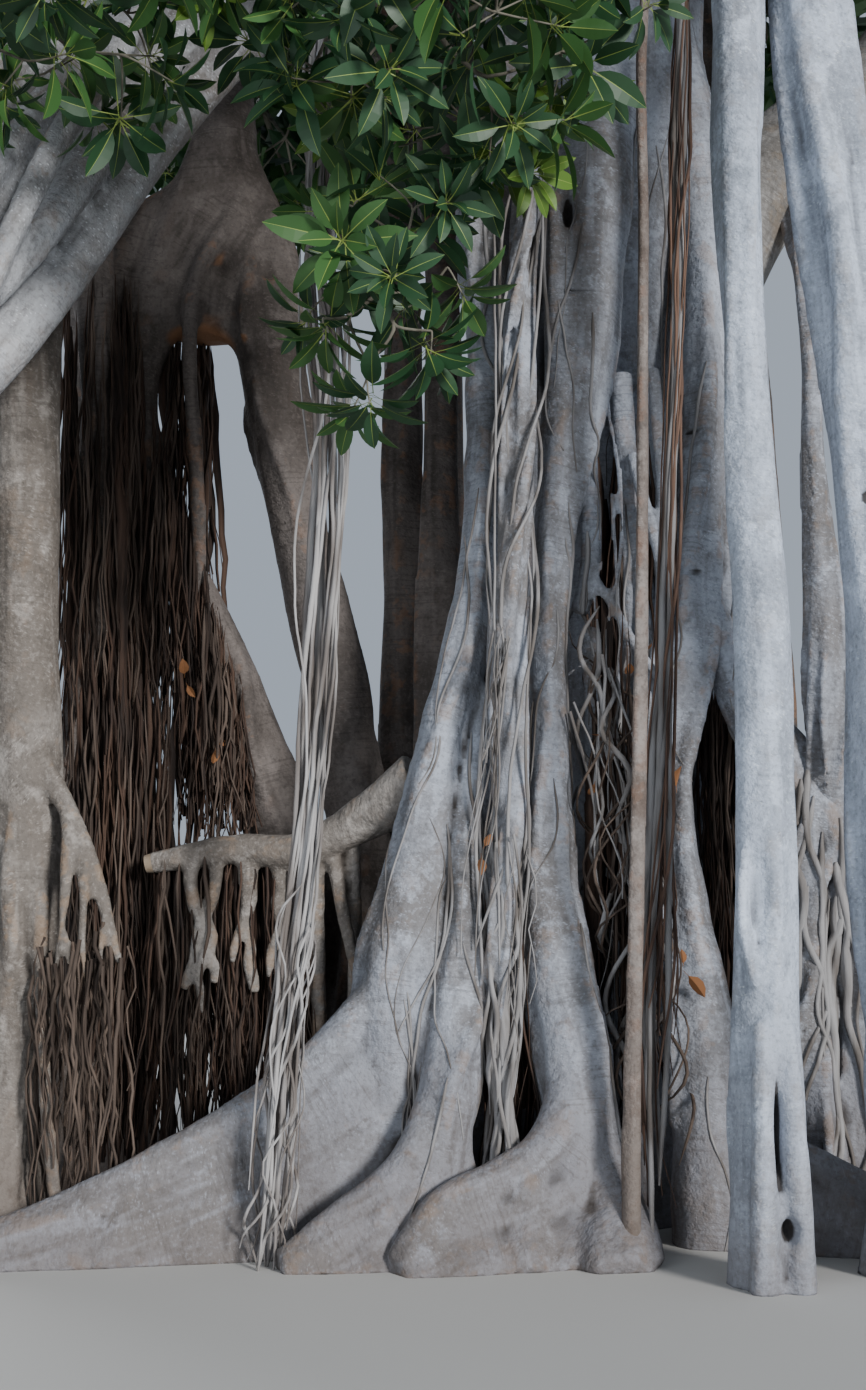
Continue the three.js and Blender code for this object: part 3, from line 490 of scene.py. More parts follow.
def bark(name, pale, deep, scuff_and_glow_colour, scuffs, hollow_scale=75.0, specks=0.3, ringed=0.75, painted_glow=0.0):
    """Smooth fig bark: cloudy patches, streaks along each strand, wrinkles across it, pores and painted shade
    in the creases.
    The painted glow is how far what faces down takes the scuff's colour as painted warm light"""
    made = material(name)
    net = BarkNet(made.node_tree, pale, deep)
    net.streaks()
    net.wrinkles(ringed)
    net.grain()
    net.pores(specks)
    net.wear_and_painted_glow(scuff_and_glow_colour, scuffs, hollow_scale, painted_glow)
    net.earth_and_crease_shade(hollow_scale)
    rough = net.noise(net.place, 26.0, detail=3.0, seed=7, roughness=0.75)
    height = net.math("MULTIPLY_ADD", net.strand_noise(20.0, 34.0, 2.0, 21), 0.9, rough)
    bump = net.add("ShaderNodeBump", Strength=0.5, Distance=0.02, Height=height)
    shader = net.add("ShaderNodeBsdfPrincipled", Base_Color=net.colour, Roughness=0.82, Normal=bump)
    shader.node.inputs["Specular IOR Level"].default_value = 0.35
    output(net, shader)
    return made


def fibre(name, pale, deep):
    """Slim roots: rough, with long pale and dark stretches"""
    made = material(name)
    net = Net(made.node_tree)
    place = net.add("ShaderNodeTexCoord", pick=3)
    shade = net.levels(net.noise(place, 14.0, detail=3.0, seed=8, stretch=(1, 1, 0.12)), 0.35, 0.65)
    colour = net.mix(shade, (*deep, 1), (*pale, 1))
    height = net.noise(place, 120.0, detail=2.0, seed=9, stretch=(1, 1, 0.2))
    bump = net.add("ShaderNodeBump", Strength=0.4, Distance=0.004, Height=height)
    output(net, net.add("ShaderNodeBsdfPrincipled", Base_Color=colour, Roughness=0.85, Normal=bump))
    return made


def leaf_finish(name, colour, roughness=0.46):
    made = material(name)
    net = Net(made.node_tree)
    shader = net.add("ShaderNodeBsdfPrincipled", Base_Color=(*colour, 1), Roughness=roughness)
    shader.node.inputs["Specular IOR Level"].default_value = 0.36
    output(net, shader)
    return made


GREY_BARK = bark(
    "blue grey fig bark",
    pale=(0.37, 0.405, 0.475),
    deep=(0.195, 0.19, 0.195),
    scuff_and_glow_colour=(0.32, 0.21, 0.13),
    scuffs=0.32,
)
# The columns' own pale bark, made paler and bluer still as painted skylight
PALE_COLUMN_BARK_WITH_PAINTED_SKYLIGHT = bark(
    "pale column bark",
    pale=(0.51, 0.58, 0.7),
    deep=(0.33, 0.37, 0.44),
    scuff_and_glow_colour=(0.34, 0.29, 0.24),
    scuffs=0.2,
    ringed=0.35,
)
FLUTED_BARK = bark(
    "fluted stem bark",
    pale=(0.43, 0.445, 0.475),
    deep=(0.26, 0.245, 0.235),
    scuff_and_glow_colour=(0.32, 0.22, 0.14),
    scuffs=0.3,
    specks=0.7,
    ringed=0.5,
    hollow_scale=26.0,
)
# Painted shade: a darkened copy of the bark for the arch, the slim left stem and the stems and columns at the
# back, with a painted warm glow underneath
PAINTED_SHADE_BARK = bark(
    "brown grey fig bark",
    pale=(0.14, 0.122, 0.114),
    deep=(0.066, 0.055, 0.049),
    scuff_and_glow_colour=(0.34, 0.16, 0.07),
    scuffs=0.3,
    painted_glow=0.7,
    hollow_scale=34.0,
)
TAN_BARK = bark(
    "tan grey fig bark",
    pale=(0.32, 0.298, 0.277),
    deep=(0.16, 0.14, 0.123),
    scuff_and_glow_colour=(0.32, 0.21, 0.13),
    scuffs=0.4,
)
BOUGH_BARK = bark(
    "bough bark",
    pale=(0.28, 0.275, 0.27),
    deep=(0.15, 0.14, 0.13),
    scuff_and_glow_colour=(0.25, 0.19, 0.13),
    scuffs=0.3,
)
POLE_BARK = bark(
    "reddish pole root bark",
    pale=(0.25, 0.225, 0.21),
    deep=(0.13, 0.10, 0.085),
    scuff_and_glow_colour=(0.25, 0.13, 0.08),
    scuffs=0.35,
)
PALE_ROOT = fibre("pale hanging root", pale=(0.43, 0.42, 0.42), deep=(0.15, 0.13, 0.12))
GREY_ROOT = fibre("grey crawling root", pale=(0.31, 0.305, 0.31), deep=(0.13, 0.115, 0.105))
BROWN_FIBRE = fibre("grey brown fibre", pale=(0.12, 0.087, 0.068), deep=(0.035, 0.023, 0.017))
DARK_FIBRE = fibre("rust brown fibre", pale=(0.075, 0.042, 0.028), deep=(0.020, 0.012, 0.009))
RUST_ROOT = fibre("rust brown root", pale=(0.17, 0.10, 0.07), deep=(0.055, 0.032, 0.024))
CUT_WOOD = fibre("cut wood", pale=(0.40, 0.33, 0.26), deep=(0.26, 0.20, 0.14))
TWIG_BARK = fibre("twig bark", pale=(0.20, 0.19, 0.15), deep=(0.10, 0.09, 0.07))
LEAF_DARK = leaf_finish("leaf deep green", (0.022, 0.066, 0.027))
LEAF_MID = leaf_finish("leaf green", (0.04, 0.108, 0.028))
LEAF_FRESH = leaf_finish("leaf fresh green", (0.085, 0.17, 0.022), roughness=0.5)
LEAF_RIB = leaf_finish("leaf rib yellow green", (0.24, 0.32, 0.07), roughness=0.5)
LEAF_DEAD = leaf_finish("dead leaf brown", (0.27, 0.12, 0.05), roughness=0.7)


def place_piece(obj, slot, *nodes):
    """Hands a finished piece over, with the nodes that it takes the place of"""
    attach(obj, "root")
    if nodes:
        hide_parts(*nodes)


def corners(mesh):
    """The places of a mesh's vertices"""
    found = np.empty(3 * len(mesh.vertices), np.float32)
    mesh.vertices.foreach_get("co", found)
    return found.reshape(-1, 3)


def follow(obj, lines):
    """Marks each vertex with how far along the nearest line it lies, its way out from that line's middle,
    and whether another line is nearer to its neighbours"""
    centres = np.vstack([line[:, :3] for line in lines])
    owners = np.repeat(np.arange(len(lines)), [len(line) for line in lines])
    tangents = np.vstack([sides_of(line)[0] for line in lines])
    far = []
    for k, line in enumerate(lines):
        steps = np.linalg.norm(np.diff(line[:, :3], axis=0), axis=1)
        far.append(LINE_APART * k + np.concatenate([[0], np.cumsum(steps)]))
    far = np.hstack(far)
    tree = KDTree(len(centres))
    for k, centre in enumerate(centres):
        tree.insert(centre, k)
    tree.balance()
    vertices = corners(obj.data)
    near = np.array([tree.find(vertex)[1] for vertex in vertices])
    away = vertices - centres[near]
    ahead = (away * tangents[near]).sum(axis=1)
    out = away - ahead[:, None] * tangents[near]
    ends = np.empty(2 * len(obj.data.edges), np.int32)
    obj.data.edges.foreach_get("vertices", ends)
    ends = ends.reshape(-1, 2)
    owner = owners[near]
    seam = np.zeros(len(vertices))
    seam[ends[owner[ends[:, 0]] != owner[ends[:, 1]]]] = 1
    wider = seam.copy()
    np.maximum.at(wider, ends[:, 0], seam[ends[:, 1]])
    np.maximum.at(wider, ends[:, 1], seam[ends[:, 0]])
    mark(obj.data, far=far[near] + ahead, out=out, seam=wider)


def dented(obj, dents, steepness):
    """Pressed in at the dents, each its place x, y, z, half its width, half its height and its depth"""
    vertices = corners(obj.data)
    for x, y, z, wide, tall, deep in dents:
        away = np.hypot((vertices[:, 0] - x) / wide, (vertices[:, 2] - z) / tall)
        front = np.abs(vertices[:, 1] - y) < DENT_SIGHT
        vertices[:, 1] += np.where(front, deep * np.exp(-(away**steepness)), 0)
    obj.data.vertices.foreach_set("co", vertices.ravel())


def fused(name, lines, finish, *, voxel, skins=(), guides=None, dents=(), hollows=(), smooth=8, wander=0.0,
          sides=14, **sizes):
    """Limbs and skins melted into one body, with the bark's relief along the guides, or else along its lines.
    The voxel's size sets how fine the body is"""
    obj = lines_object(name, lines, skins)
    use_tree(obj, SWEEP, Sides=sides, Wander=wander, Material=finish)
    melt = obj.modifiers.new("melt", "REMESH")
    melt.mode = "VOXEL"
    melt.voxel_size = voxel
    soften = obj.modifiers.new("soften", "SMOOTH")
    soften.factor = 0.5
    soften.iterations = smooth
    follow(settled(obj), guides or lines)
    dented(obj, dents, HOLE_STEEPNESS)
    dented(obj, hollows, HOLLOW_STEEPNESS)
    use_tree(obj, RELIEF, Weld=0.3 * voxel, Material=finish, **sizes)
    return settled(obj)


def threads(name, lines, finish, sides=5, wander=0.03, wander_size=0.35):
    """Slim roots that stay separate"""
    obj = lines_object(name, lines)
    use_tree(obj, SWEEP, Sides=sides, Wander=wander, Wander_Size=wander_size, Material=finish)
    use_tree(obj, RELIEF, Lumps=0.0, Material=finish, Blur=1)
    return settled(obj)


# The trunk: strands fused round a core that stands behind them
CORE = [
    (0.12, 0.4, 0, 0.64),
    (0.14, 0.42, 0.9, 0.5),
    (0.15, 0.42, 2.4, 0.42),
    (0.15, 0.38, 4.2, 0.44),
    (0.12, 0.24, 5.4, 0.56),
    (0.06, 0.12, 6.2, 0.6),
    (0, 0.06, HEAD_HEIGHT, 0.43),
]
FRONT_STRANDS = {
    "long_root": [
        (-0.88, -0.6, 0.3, 0.15),
        (-0.86, -0.6, 1.12, 0.165),
        (-0.79, -0.57, 1.55, 0.125),
        (-0.68, -0.5, 2.15, 0.102),
        (-0.58, -0.45, 2.5, 0.108),
        (-0.49, -0.37, 3.12, 0.095),
        (-0.45, -0.28, 3.9, 0.112),
        (-0.43, -0.18, 4.85, 0.135),
        (-0.25, -0.04, 6, 0.16),
    ],
    "middle_root": [
        (-0.76, -0.9, 0.1, 0.14),
        (-0.64, -0.8, 0.7, 0.132),
        (-0.59, -0.69, 1.2, 0.1),
        (-0.56, -0.56, 1.78, 0.082),
        (-0.45, -0.43, 2.4, 0.06),
    ],
    "front_root": [
        (-0.06, -0.82, 0.1, 0.18),
        (-0.11, -0.74, 0.82, 0.14),
        (-0.17, -0.67, 1.13, 0.13),
        (-0.21, -0.59, 1.56, 0.1),
        (-0.2, -0.52, 2.15, 0.084),
        (-0.19, -0.46, 2.8, 0.084),
        (-0.14, -0.4, 3.38, 0.105),
        (-0.04, -0.33, 4, 0.16),
        (0.02, -0.25, 4.74, 0.2),
        (0.03, -0.08, 6, 0.22),
    ],
    "right_stem": [
        (0.5, -0.52, 0.2, 0.19),
        (0.48, -0.47, 0.88, 0.14),
        (0.42, -0.4, 1.45, 0.092),
        (0.38, -0.34, 1.95, 0.08),
        (0.46, -0.25, 2.64, 0.104),
        (0.5, -0.19, 3.1, 0.104),
        (0.56, -0.1, 3.85, 0.112),
        (0.57, 0, 4.85, 0.122),
        (0.33, 0.06, 6.1, 0.15),
    ],
    "right_leg": [
        (1.29, -0.06, 0.1, 0.22),
        (1.24, -0.06, 1.23, 0.165),
        (1.1, -0.09, 1.78, 0.14),
        (0.94, -0.12, 2.1, 0.12),
        (0.74, -0.17, 2.34, 0.088),
        (0.53, -0.22, 2.82, 0.105),
    ],
    "right_lattice": [
        (1.04, -0.23, 0.2, 0.1),
        (1, -0.21, 0.9, 0.066),
        (0.99, -0.16, 1.9, 0.08),
    ],
    "outer_strand": [
        (0.74, -0.12, 2.2, 0.06),
        (0.69, -0.1, 2.6, 0.075),
        (0.655, -0.1, 3.0, 0.08),
        (0.635, -0.09, 3.6, 0.075),
        (0.62, -0.05, 4.3, 0.075),
        (0.57, 0.0, 5.05, 0.08),
    ],
    "niche_foot": [
        (0.12, -0.48, 0.1, 0.13),
        (0.11, -0.41, 0.85, 0.075),
        (0.1, -0.34, 1.5, 0.058),
        (0.07, -0.2, 2.2, 0.055),
    ],
    "niche_root": [
        (0.27, -0.38, 1.4, 0.048),
        (0.27, -0.33, 2.25, 0.044),
        (0.22, -0.25, 3.1, 0.042),
        (0.15, -0.16, 3.7, 0.04),
    ],
}
# Plank roots: stops (x, y, ridge height, half thickness) along the ground, from the trunk to the tip
PLANK_ROOTS = {
    "long_root": [
        (-0.78, -0.56, 1.34, 0.13),
        (-1, -0.63, 1.08, 0.135),
        (-1.27, -0.7, 0.8, 0.13),
        (-1.88, -0.86, 0.42, 0.115),
        (-2.39, -1, 0.21, 0.09),
        (-2.83, -1.1, 0.07, 0.055),
    ],
    "middle_root": [
        (-0.62, -0.76, 0.9, 0.13),
        (-0.8, -0.92, 0.48, 0.13),
        (-1.06, -1.03, 0.27, 0.1),
        (-1.33, -1.11, 0.08, 0.06),
    ],
    "front_root": [
        (-0.06, -0.74, 0.96, 0.14),
        (-0.23, -0.9, 0.54, 0.15),
        (-0.45, -0.99, 0.4, 0.14),
        (-0.64, -1.06, 0.33, 0.125),
        (-0.86, -1.18, 0.07, 0.07),
    ],
    "front_lobe": [
        (-0.06, -0.7, 0.7, 0.16),
        (0.02, -0.96, 0.3, 0.135),
        (0.06, -1.16, 0.06, 0.08),
    ],
    "right_stem": [
        (0.47, -0.46, 0.7, 0.14),
        (0.76, -0.6, 0.48, 0.13),
        (1.08, -0.7, 0.32, 0.11),
        (1.46, -0.82, 0.06, 0.06),
    ],
    "right_leg": [
        (1.15, -0.08, 1.5, 0.12),
        (1.45, -0.15, 1, 0.12),
        (1.85, -0.26, 0.45, 0.11),
        (2.25, -0.4, 0.08, 0.06),
    ],
}
# The strands round the back, between two azimuths in degrees
BACK_STRANDS = {"count": 6, "from": 12, "to": 188, "ring": 0.47, "radius": 0.165}
# Their plank roots, with the half thickness at the trunk and at the tip
BACK_PLANKS = {"length": 1.5, "height": 1.35, "tip_height": 0.06, "half": (0.135, 0.06)}
PLANK_STEP = 0.06
PLANK_OUTLINE = 12  # points on a plank root's outline
PLANK_MIDDLE = 0.6  # the middle of a plank root, as a share of its ridge's height
TRUNK_DENTS = [
    (-0.09, -0.5, 4.6, 0.03, 0.075, 0.09),
    (-0.02, -0.5, 4.22, 0.12, 0.018, 0.02),
    (0.5, -0.3, 3.62, 0.05, 0.02, 0.03),
    (0.46, -0.33, 2.95, 0.06, 0.02, 0.025),
]
ROOT_HOLLOWS = [
    (-0.46, -1.15, 0.17, 0.24, 0.13, 0.06),
    (-0.18, -1.08, 0.24, 0.2, 0.2, 0.07),
    (-0.95, -1.14, 0.1, 0.2, 0.1, 0.04),
]
# Strands that cling to a front strand: how many, their ring as a share of its radius, their radius and turns
FRONT_CLINGING = {
    "long_root": (5, 0.8, 0.045, 0.3),
    "middle_root": (4, 0.8, 0.04, 0.3),
    "front_root": (5, 0.82, 0.042, 0.25),
    "right_stem": (4, 0.85, 0.04, 0.35),
    "right_leg": (5, 0.8, 0.05, 0.35),
    "right_lattice": (3, 1.2, 0.035, 0.7),
    "niche_foot": (3, 1.0, 0.026, 0.8),
}
TRUNK_FRONT = {
    "left": ["long_root", "middle_root"],
    "front": ["front_root", "front_lobe", "right_stem", "outer_strand", "niche_foot", "niche_root"],
    "right": ["right_leg", "right_lattice"],
}


def plank_line(stops):
    """The points of a plank root's ridge, and the way across it at each"""
    line = along(stops, PLANK_STEP)
    tangent = np.gradient(line[:, :2], axis=0)
    tangent /= np.linalg.norm(tangent, axis=1)[:, None]
    return line, np.stack([tangent[:, 1], -tangent[:, 0]], axis=1)


def plank_skin(stops):
    """A closed skin round a plank root: a rounded ridge over sides that spread towards the ground"""
    line, across = plank_line(stops)
    swing = np.linspace(0, math.pi, PLANK_OUTLINE)
    spread = np.cos(swing) * (0.95 + 0.5 * (1 - np.sin(swing)) ** 1.5)
    rise = np.sin(swing) ** 0.8
    spread = np.hstack([spread[0], spread, spread[-1]])
    rise = np.hstack([-1, rise, -1])
    rings = []
    for side, (x, y, height, half) in zip(across, line):
        flat = (x, y) + side * (half * spread)[:, None]
        rings.append(np.column_stack([flat, np.where(rise < 0, -UNDERCUT, rise * height)]))
    sides = len(spread)
    faces = []
    for ring in range(len(rings) - 1):
        for k in range(sides):
            a, b = ring * sides + k, ring * sides + (k + 1) % sides
            faces.append([a, a + sides, b + sides, b])
    faces.append(list(range(sides)))
    faces.append([(len(rings) - 1) * sides + k for k in reversed(range(sides))])
    return np.vstack(rings), faces


def plank_guide(stops):
    """The middle of a plank root, which its bark's pattern follows"""
    line = along(stops, PLANK_STEP)
    line[:, 2] *= PLANK_MIDDLE
    return line


def plank_folds(stops, seed, folds=2):
    """Rounded folds along both flanks of a plank root, and a thicker one on its ridge"""
    rng = np.random.default_rng(seed)
    spine, across = plank_line(stops)
    path = spine[:, :2]
    share = np.linspace(0, 1, len(spine))
    height, half = spine[:, 2], spine[:, 3]
    thick = half * 0.72
    ridge = np.column_stack([path, np.maximum(height - 0.8 * thick, -UNDERCUT), thick])
    made = [ridge]
    for side in (-1, 1):
        for k in range(folds):
            level = (k + 0.5) / folds + 0.14 * np.sin(share * rng.uniform(3, 7) + rng.uniform(0, 6))
            level = np.clip(level * mixed(0.8, 1.0, share), 0.02, 1)
            reach = half * mixed(1.05, 0.6, level) * side
            radius = half * rng.uniform(0.3, 0.5) * (1 + 0.3 * np.sin(share * 9 + rng.uniform(0, 6)))
            made.append(np.column_stack([path + across * reach[:, None], level * height * 0.85, radius]))
        for at in (rng.uniform(0.1, 0.3), rng.uniform(0.45, 0.7)):
            top = int(at * (len(spine) - 1))
            foot = min(len(spine) - 1, top + int(rng.uniform(2, 6)))
            swell = half[top] * rng.uniform(0.45, 0.65)
            middle = mixed(path[top], path[foot], 0.5) + across[top] * half[top] * 0.6 * side
            tip = path[foot] + across[foot] * half[foot] * side
            head = (*path[top], height[top] * 0.86, swell)
            waist = (*middle, height[top] * 0.5, swell)
            made.append(along([head, waist, (*tip, 0, swell * 1.2)], PLANK_STEP))
    return made


def back_strands():
    """The routes of the strands round the trunk's back, and of the plank root of each"""
    roll = dice(7)
    middle = CORE[2]
    ring = BACK_STRANDS["ring"]

    def stop(reach, height, radius, angle):
        return (middle[0] + reach * math.cos(angle), middle[1] + reach * math.sin(angle), height, radius)

    strands = []
    planks = []
    for k in range(BACK_STRANDS["count"]):
        place = k / (BACK_STRANDS["count"] - 1)
        angle = math.radians(mixed(BACK_STRANDS["from"], BACK_STRANDS["to"], place))
        size = BACK_STRANDS["radius"] * (0.8 + 0.4 * roll())
        twist = 0.5 * (roll() - 0.5)
        strands.append([
            stop(ring * 1.65, 0, size * 1.35, angle),
            stop(ring * 1.2, 1.3, size, angle),
            stop(ring * 0.95, 3.2, size * 0.8, angle + twist),
            stop(ring * 0.9, 5.0, size * 0.9, angle),
            stop(ring * 0.3, 6.3, size, angle),
        ])
        length = BACK_PLANKS["length"] * (0.75 + 0.6 * roll())
        bend = 0.5 * (roll() - 0.5)
        plank = []
        for share in (0, 0.35, 0.7, 1):
            height = BACK_PLANKS["height"] * (1 - share) ** 1.6 + BACK_PLANKS["tip_height"]
            half = mixed(*BACK_PLANKS["half"], share)
            plank.append(stop(ring * 1.2 + share * length, height, half, angle + bend * share))
        planks.append(plank)
    return strands, planks


def low_footed(stops):
    """The route, carried below the ground if it starts near it"""
    return footed(stops) if stops[0][2] < 0.4 else stops


def trunk_front_piece(side, names):
    """The named strands and plank roots, with strands that cling to them and folds on the planks"""
    planks = [PLANK_ROOTS[name] for name in names if name in PLANK_ROOTS]
    lines = [along(low_footed(FRONT_STRANDS[name])) for name in names if name in FRONT_STRANDS]
    guides = [*lines, *(plank_guide(stops) for stops in planks)]
    for seed, name in enumerate((name for name in names if name in FRONT_CLINGING), 70):
        lines += strands_around(FRONT_STRANDS[name], *FRONT_CLINGING[name], seed=seed, stray=0.3)
    for stops in planks:
        lines += plank_folds(stops, seed=len(lines))
    if side == "front":
        core = along(low_footed([(x, y - 0.28 * r, z, 0.72 * r) for x, y, z, r in CORE]))
        lines.append(core)
        guides.append(core)
    skins = [plank_skin(stops) for stops in planks]
    return fused(f"trunk_{side}", lines, GREY_BARK, voxel=0.022, skins=skins, guides=guides,
                 dents=TRUNK_DENTS, hollows=ROOT_HOLLOWS, smooth=4, Lumps=0.05, Lump_Size=0.3,
                 Ribs=0.024, Rib_Width=0.1, Folds=0.012, Fold_Height=0.06)


def trunk_back_piece():
    strands, planks = back_strands()
    core = along(low_footed([(x, y + 0.1, z, r - 0.03) for x, y, z, r in CORE]))
    lines = [core, *(along(low_footed(stops)) for stops in strands)]
    guides = [*lines, *(plank_guide(stops) for stops in planks)]
    skins = [plank_skin(stops) for stops in planks]
    return fused("trunk_back", lines, GREY_BARK, voxel=0.042, skins=skins, guides=guides, Lumps=0.06,
                 Ribs=0.05, Seed=5.0)


def build_trunk():
    """The trunk as four pieces, left, front, right and back. The front and the back each have a core"""
    pieces = [trunk_front_piece(side, names) for side, names in TRUNK_FRONT.items()]
    pieces.append(trunk_back_piece())
    for piece in pieces:
        place_piece(piece, "bark_grey", "trunk")
    return pieces


TRUNK = build_trunk()

# Boughs: azimuth in degrees from +X towards +Y, seen from the crown's axis
TRUNK_AXIS = np.array([0.0, 0.06, 0.0])
LOWER_BOUGHS = {
    "front_right": -65,
    "right_front": -22,
    "right": 18,
    "back_right": 62,
    "back": 110,
    "left_back": 165,
    "left_front": 210,
    "front_left": 252,
}
UPPER_BOUGHS = {"upper_right": 20, "upper_back": 110, "upper_left": 200, "upper_front": 290}
RIGHT_BOUGH_WAY = [
    (0.56, 0.02, 3.83, 0.11),
    (0.69, 0.09, 4.42, 0.185),
    (0.98, 0.25, 5.03, 0.255),
    (1.48, 0.4, 5.48, 0.24),
    (2.05, 0.6, 6.15, 0.21),
]
LOWER_GROWTH = {"from": 0.15, "height": 6.25, "root": 0.28, "tip": 0.12, "sag": 0.26, "sway": 0.5}
UPPER_GROWTH = {"from": 0.17, "height": 6.85, "root": 0.205, "tip": 0.105, "sag": -0.16, "sway": 0.3}
TOP_GROWTH = {"from": 0, "height": 6.85, "root": 0.24, "tip": 0.105, "sag": 0, "sway": 0.34}
BOUGH_ENTRY = 0.86  # how far out in its mass a bough ends, as a share of the mass's reach


def around(centre, azimuth, reach, height):
    """The place at an azimuth and a reach from a centre"""
    angle = math.radians(azimuth)
    return np.array([centre[0] + reach * math.cos(angle), centre[1] + reach * math.sin(angle), height])


def crown_spaces():
    """The space that each mass keeps to: a ball with a flat underside, less what is nearer to another mass"""
    spaces = {}
    for k, (name, azimuth) in enumerate(LOWER_BOUGHS.items()):
        height = LOWER_RING["height"] + LOWER_RING["wave"] * (1 if k % 2 else -1)
        spaces[name] = {**LOWER_RING, "centre": around(CROWN_LEAN, azimuth, LOWER_RING["radius"], height)}
    for name, azimuth in UPPER_BOUGHS.items():
        centre = around(CROWN_LEAN, azimuth, UPPER_RING["radius"], UPPER_RING["height"])
        spaces[name] = {**UPPER_RING, "centre": centre}
    spaces["top"] = {**CROWN_TOP, "centre": around(CROWN_LEAN, 0, 0, CROWN_TOP["height"])}
    return spaces


SPACES = crown_spaces()


def reach_in(space, points):
    """How far out in a space the points lie: 0 at its centre and 1 at its surface"""
    away = np.asarray(points) - space["centre"]
    tall = np.where(away[..., 2] > 0, space["up"], space["down"])
    level = (away[..., 0] ** 2 + away[..., 1] ** 2) / space["across"] ** 2
    return np.sqrt(level + (away[..., 2] / tall) ** 2)


def inside_space(name, points, limit):
    """Which points lie in a space, and nearer to it than to any other by the margin"""
    own = reach_in(SPACES[name], points)
    inside = own <= limit + 1e-6
    for other, space in SPACES.items():
        if other != name:
            inside &= reach_in(space, points) > own + CELL_MARGIN
    return inside


def point_toward(name, directions, shares):
    """The points of a space in the directions, at the given shares of its reach or nearer, and how near"""
    space = SPACES[name]
    tall = np.where(directions[:, 2] > 0, space["up"], space["down"])
    wide = np.full(len(tall), space["across"])
    scale = np.stack([wide, wide, tall], axis=1)
    reach = np.array(shares, float) * np.ones(len(directions))
    limit = reach.copy()
    while True:
        points = space["centre"] + directions * scale * reach[:, None]
        out = ~inside_space(name, points, limit) & (reach > LEAST_REACH)
        if not out.any():
            return points, reach / limit
        reach = np.where(out, reach - REACH_STEP, reach)


def bough_route(name, azimuth, growth, roll):
    """A bough's stops, from the trunk's head into its mass"""
    space = SPACES[name]
    way = RIGHT_BOUGH_WAY if name == "right" else []
    start = np.array(way[-1][:3]) if way else around(TRUNK_AXIS, azimuth, growth["from"], growth["height"])
    root = way[-1][3] if way else growth["root"]
    towards = start - space["centre"]
    end = space["centre"] + towards * BOUGH_ENTRY / reach_in(space, start)
    side = np.array([-towards[1], towards[0], 0]) / math.hypot(towards[0], towards[1])
    sway = growth["sway"] * (roll() - 0.5)
    stops = []
    for share in (1 / 3, 2 / 3):
        at = mixed(start, end, share) + side * sway * (1 if share < 0.5 else -0.6)
        at[2] -= growth["sag"] * 4 * share * (1 - share)
        stops.append((*at, mixed(root, growth["tip"], share**0.8)))
    return [*(way or [(*start, root)]), *stops, (*end, growth["tip"])]


def bough_routes():
    roll = dice(23)
    routes = {}
    for name, azimuth in LOWER_BOUGHS.items():
        routes[name] = bough_route(name, azimuth, LOWER_GROWTH, roll)
    routes["top"] = bough_route("top", 0, TOP_GROWTH, roll)
    for name, azimuth in UPPER_BOUGHS.items():
        routes[name] = bough_route(name, azimuth, UPPER_GROWTH, roll)
    return routes


BOUGHS = bough_routes()


def on_bough(name, distance, radius):
    """The stop at which a root joins a bough, at a distance from the trunk's axis"""
    line = along(BOUGHS[name], 0.02)
    off = np.abs(np.hypot(line[:, 0] - TRUNK_AXIS[0], line[:, 1] - TRUNK_AXIS[1]) - distance)
    return (*line[off.argmin(), :3], radius)


def limb_piece(node, stops, sides=18, **sizes):
    """A bough or a branch with its bark's relief"""
    line = along(stops)
    obj = lines_object(f"{node}_bark", [line])
    use_tree(obj, SWEEP, Sides=sides, Material=BOUGH_BARK)
    follow(settled(obj), [line])
    use_tree(obj, RELIEF, Material=BOUGH_BARK, **sizes)
    place_piece(settled(obj), "bark_grey", node)


for bough_name, bough_stops in BOUGHS.items():
    limb_piece(f"{bough_name}_bough", bough_stops, Lumps=0.06, Ribs=0.05, Weld=0.004)


# The great leaning stem on the left, deeply fluted
LEANING_STEM = [
    (-4.02, -1.5, 0, 0.56),
    (-3.9, -1.45, 0.7, 0.45),
    (-3.65, -1.35, 2, 0.42),
    (-3.2, -1.2, 3.32, 0.41),
    (-2.56, -1.02, 4.36, 0.4),
    (-2.03, -0.86, 5.15, 0.385),
    (-1.5, -0.52, 5.82, 0.36),
    (-0.7, -0.16, 6.35, 0.33),
]
# A strand that stands apart on its front
LEANING_RIDGE = [
    (-2.62, -1.45, 3.4, 0.04),
    (-2.5, -1.47, 3.9, 0.055),
    (-2.36, -1.45, 4.25, 0.06),
    (-2.2, -1.42, 4.6, 0.06),
    (-2.02, -1.32, 4.95, 0.06),
    (-1.86, -1.16, 5.3, 0.05),
]


def build_leaning_stem():
    route = footed(LEANING_STEM)
    core = along([(x, y, z, 0.76 * radius) for x, y, z, radius in route])
    flutes = strands_around(route, 9, 0.87, 0.085, turns=0.16, seed=3, stray=0.12)
    lines = [core, *flutes, along(LEANING_RIDGE)]
    stem = fused("leaning_stem_bark", lines, FLUTED_BARK, voxel=0.032, guides=[core], smooth=3, Lumps=0.02,
                 Ribs=0.024, Rib_Width=0.11, Folds=0.008)
    place_piece(stem, "bark_grey", "leaning_stem")


build_leaning_stem()
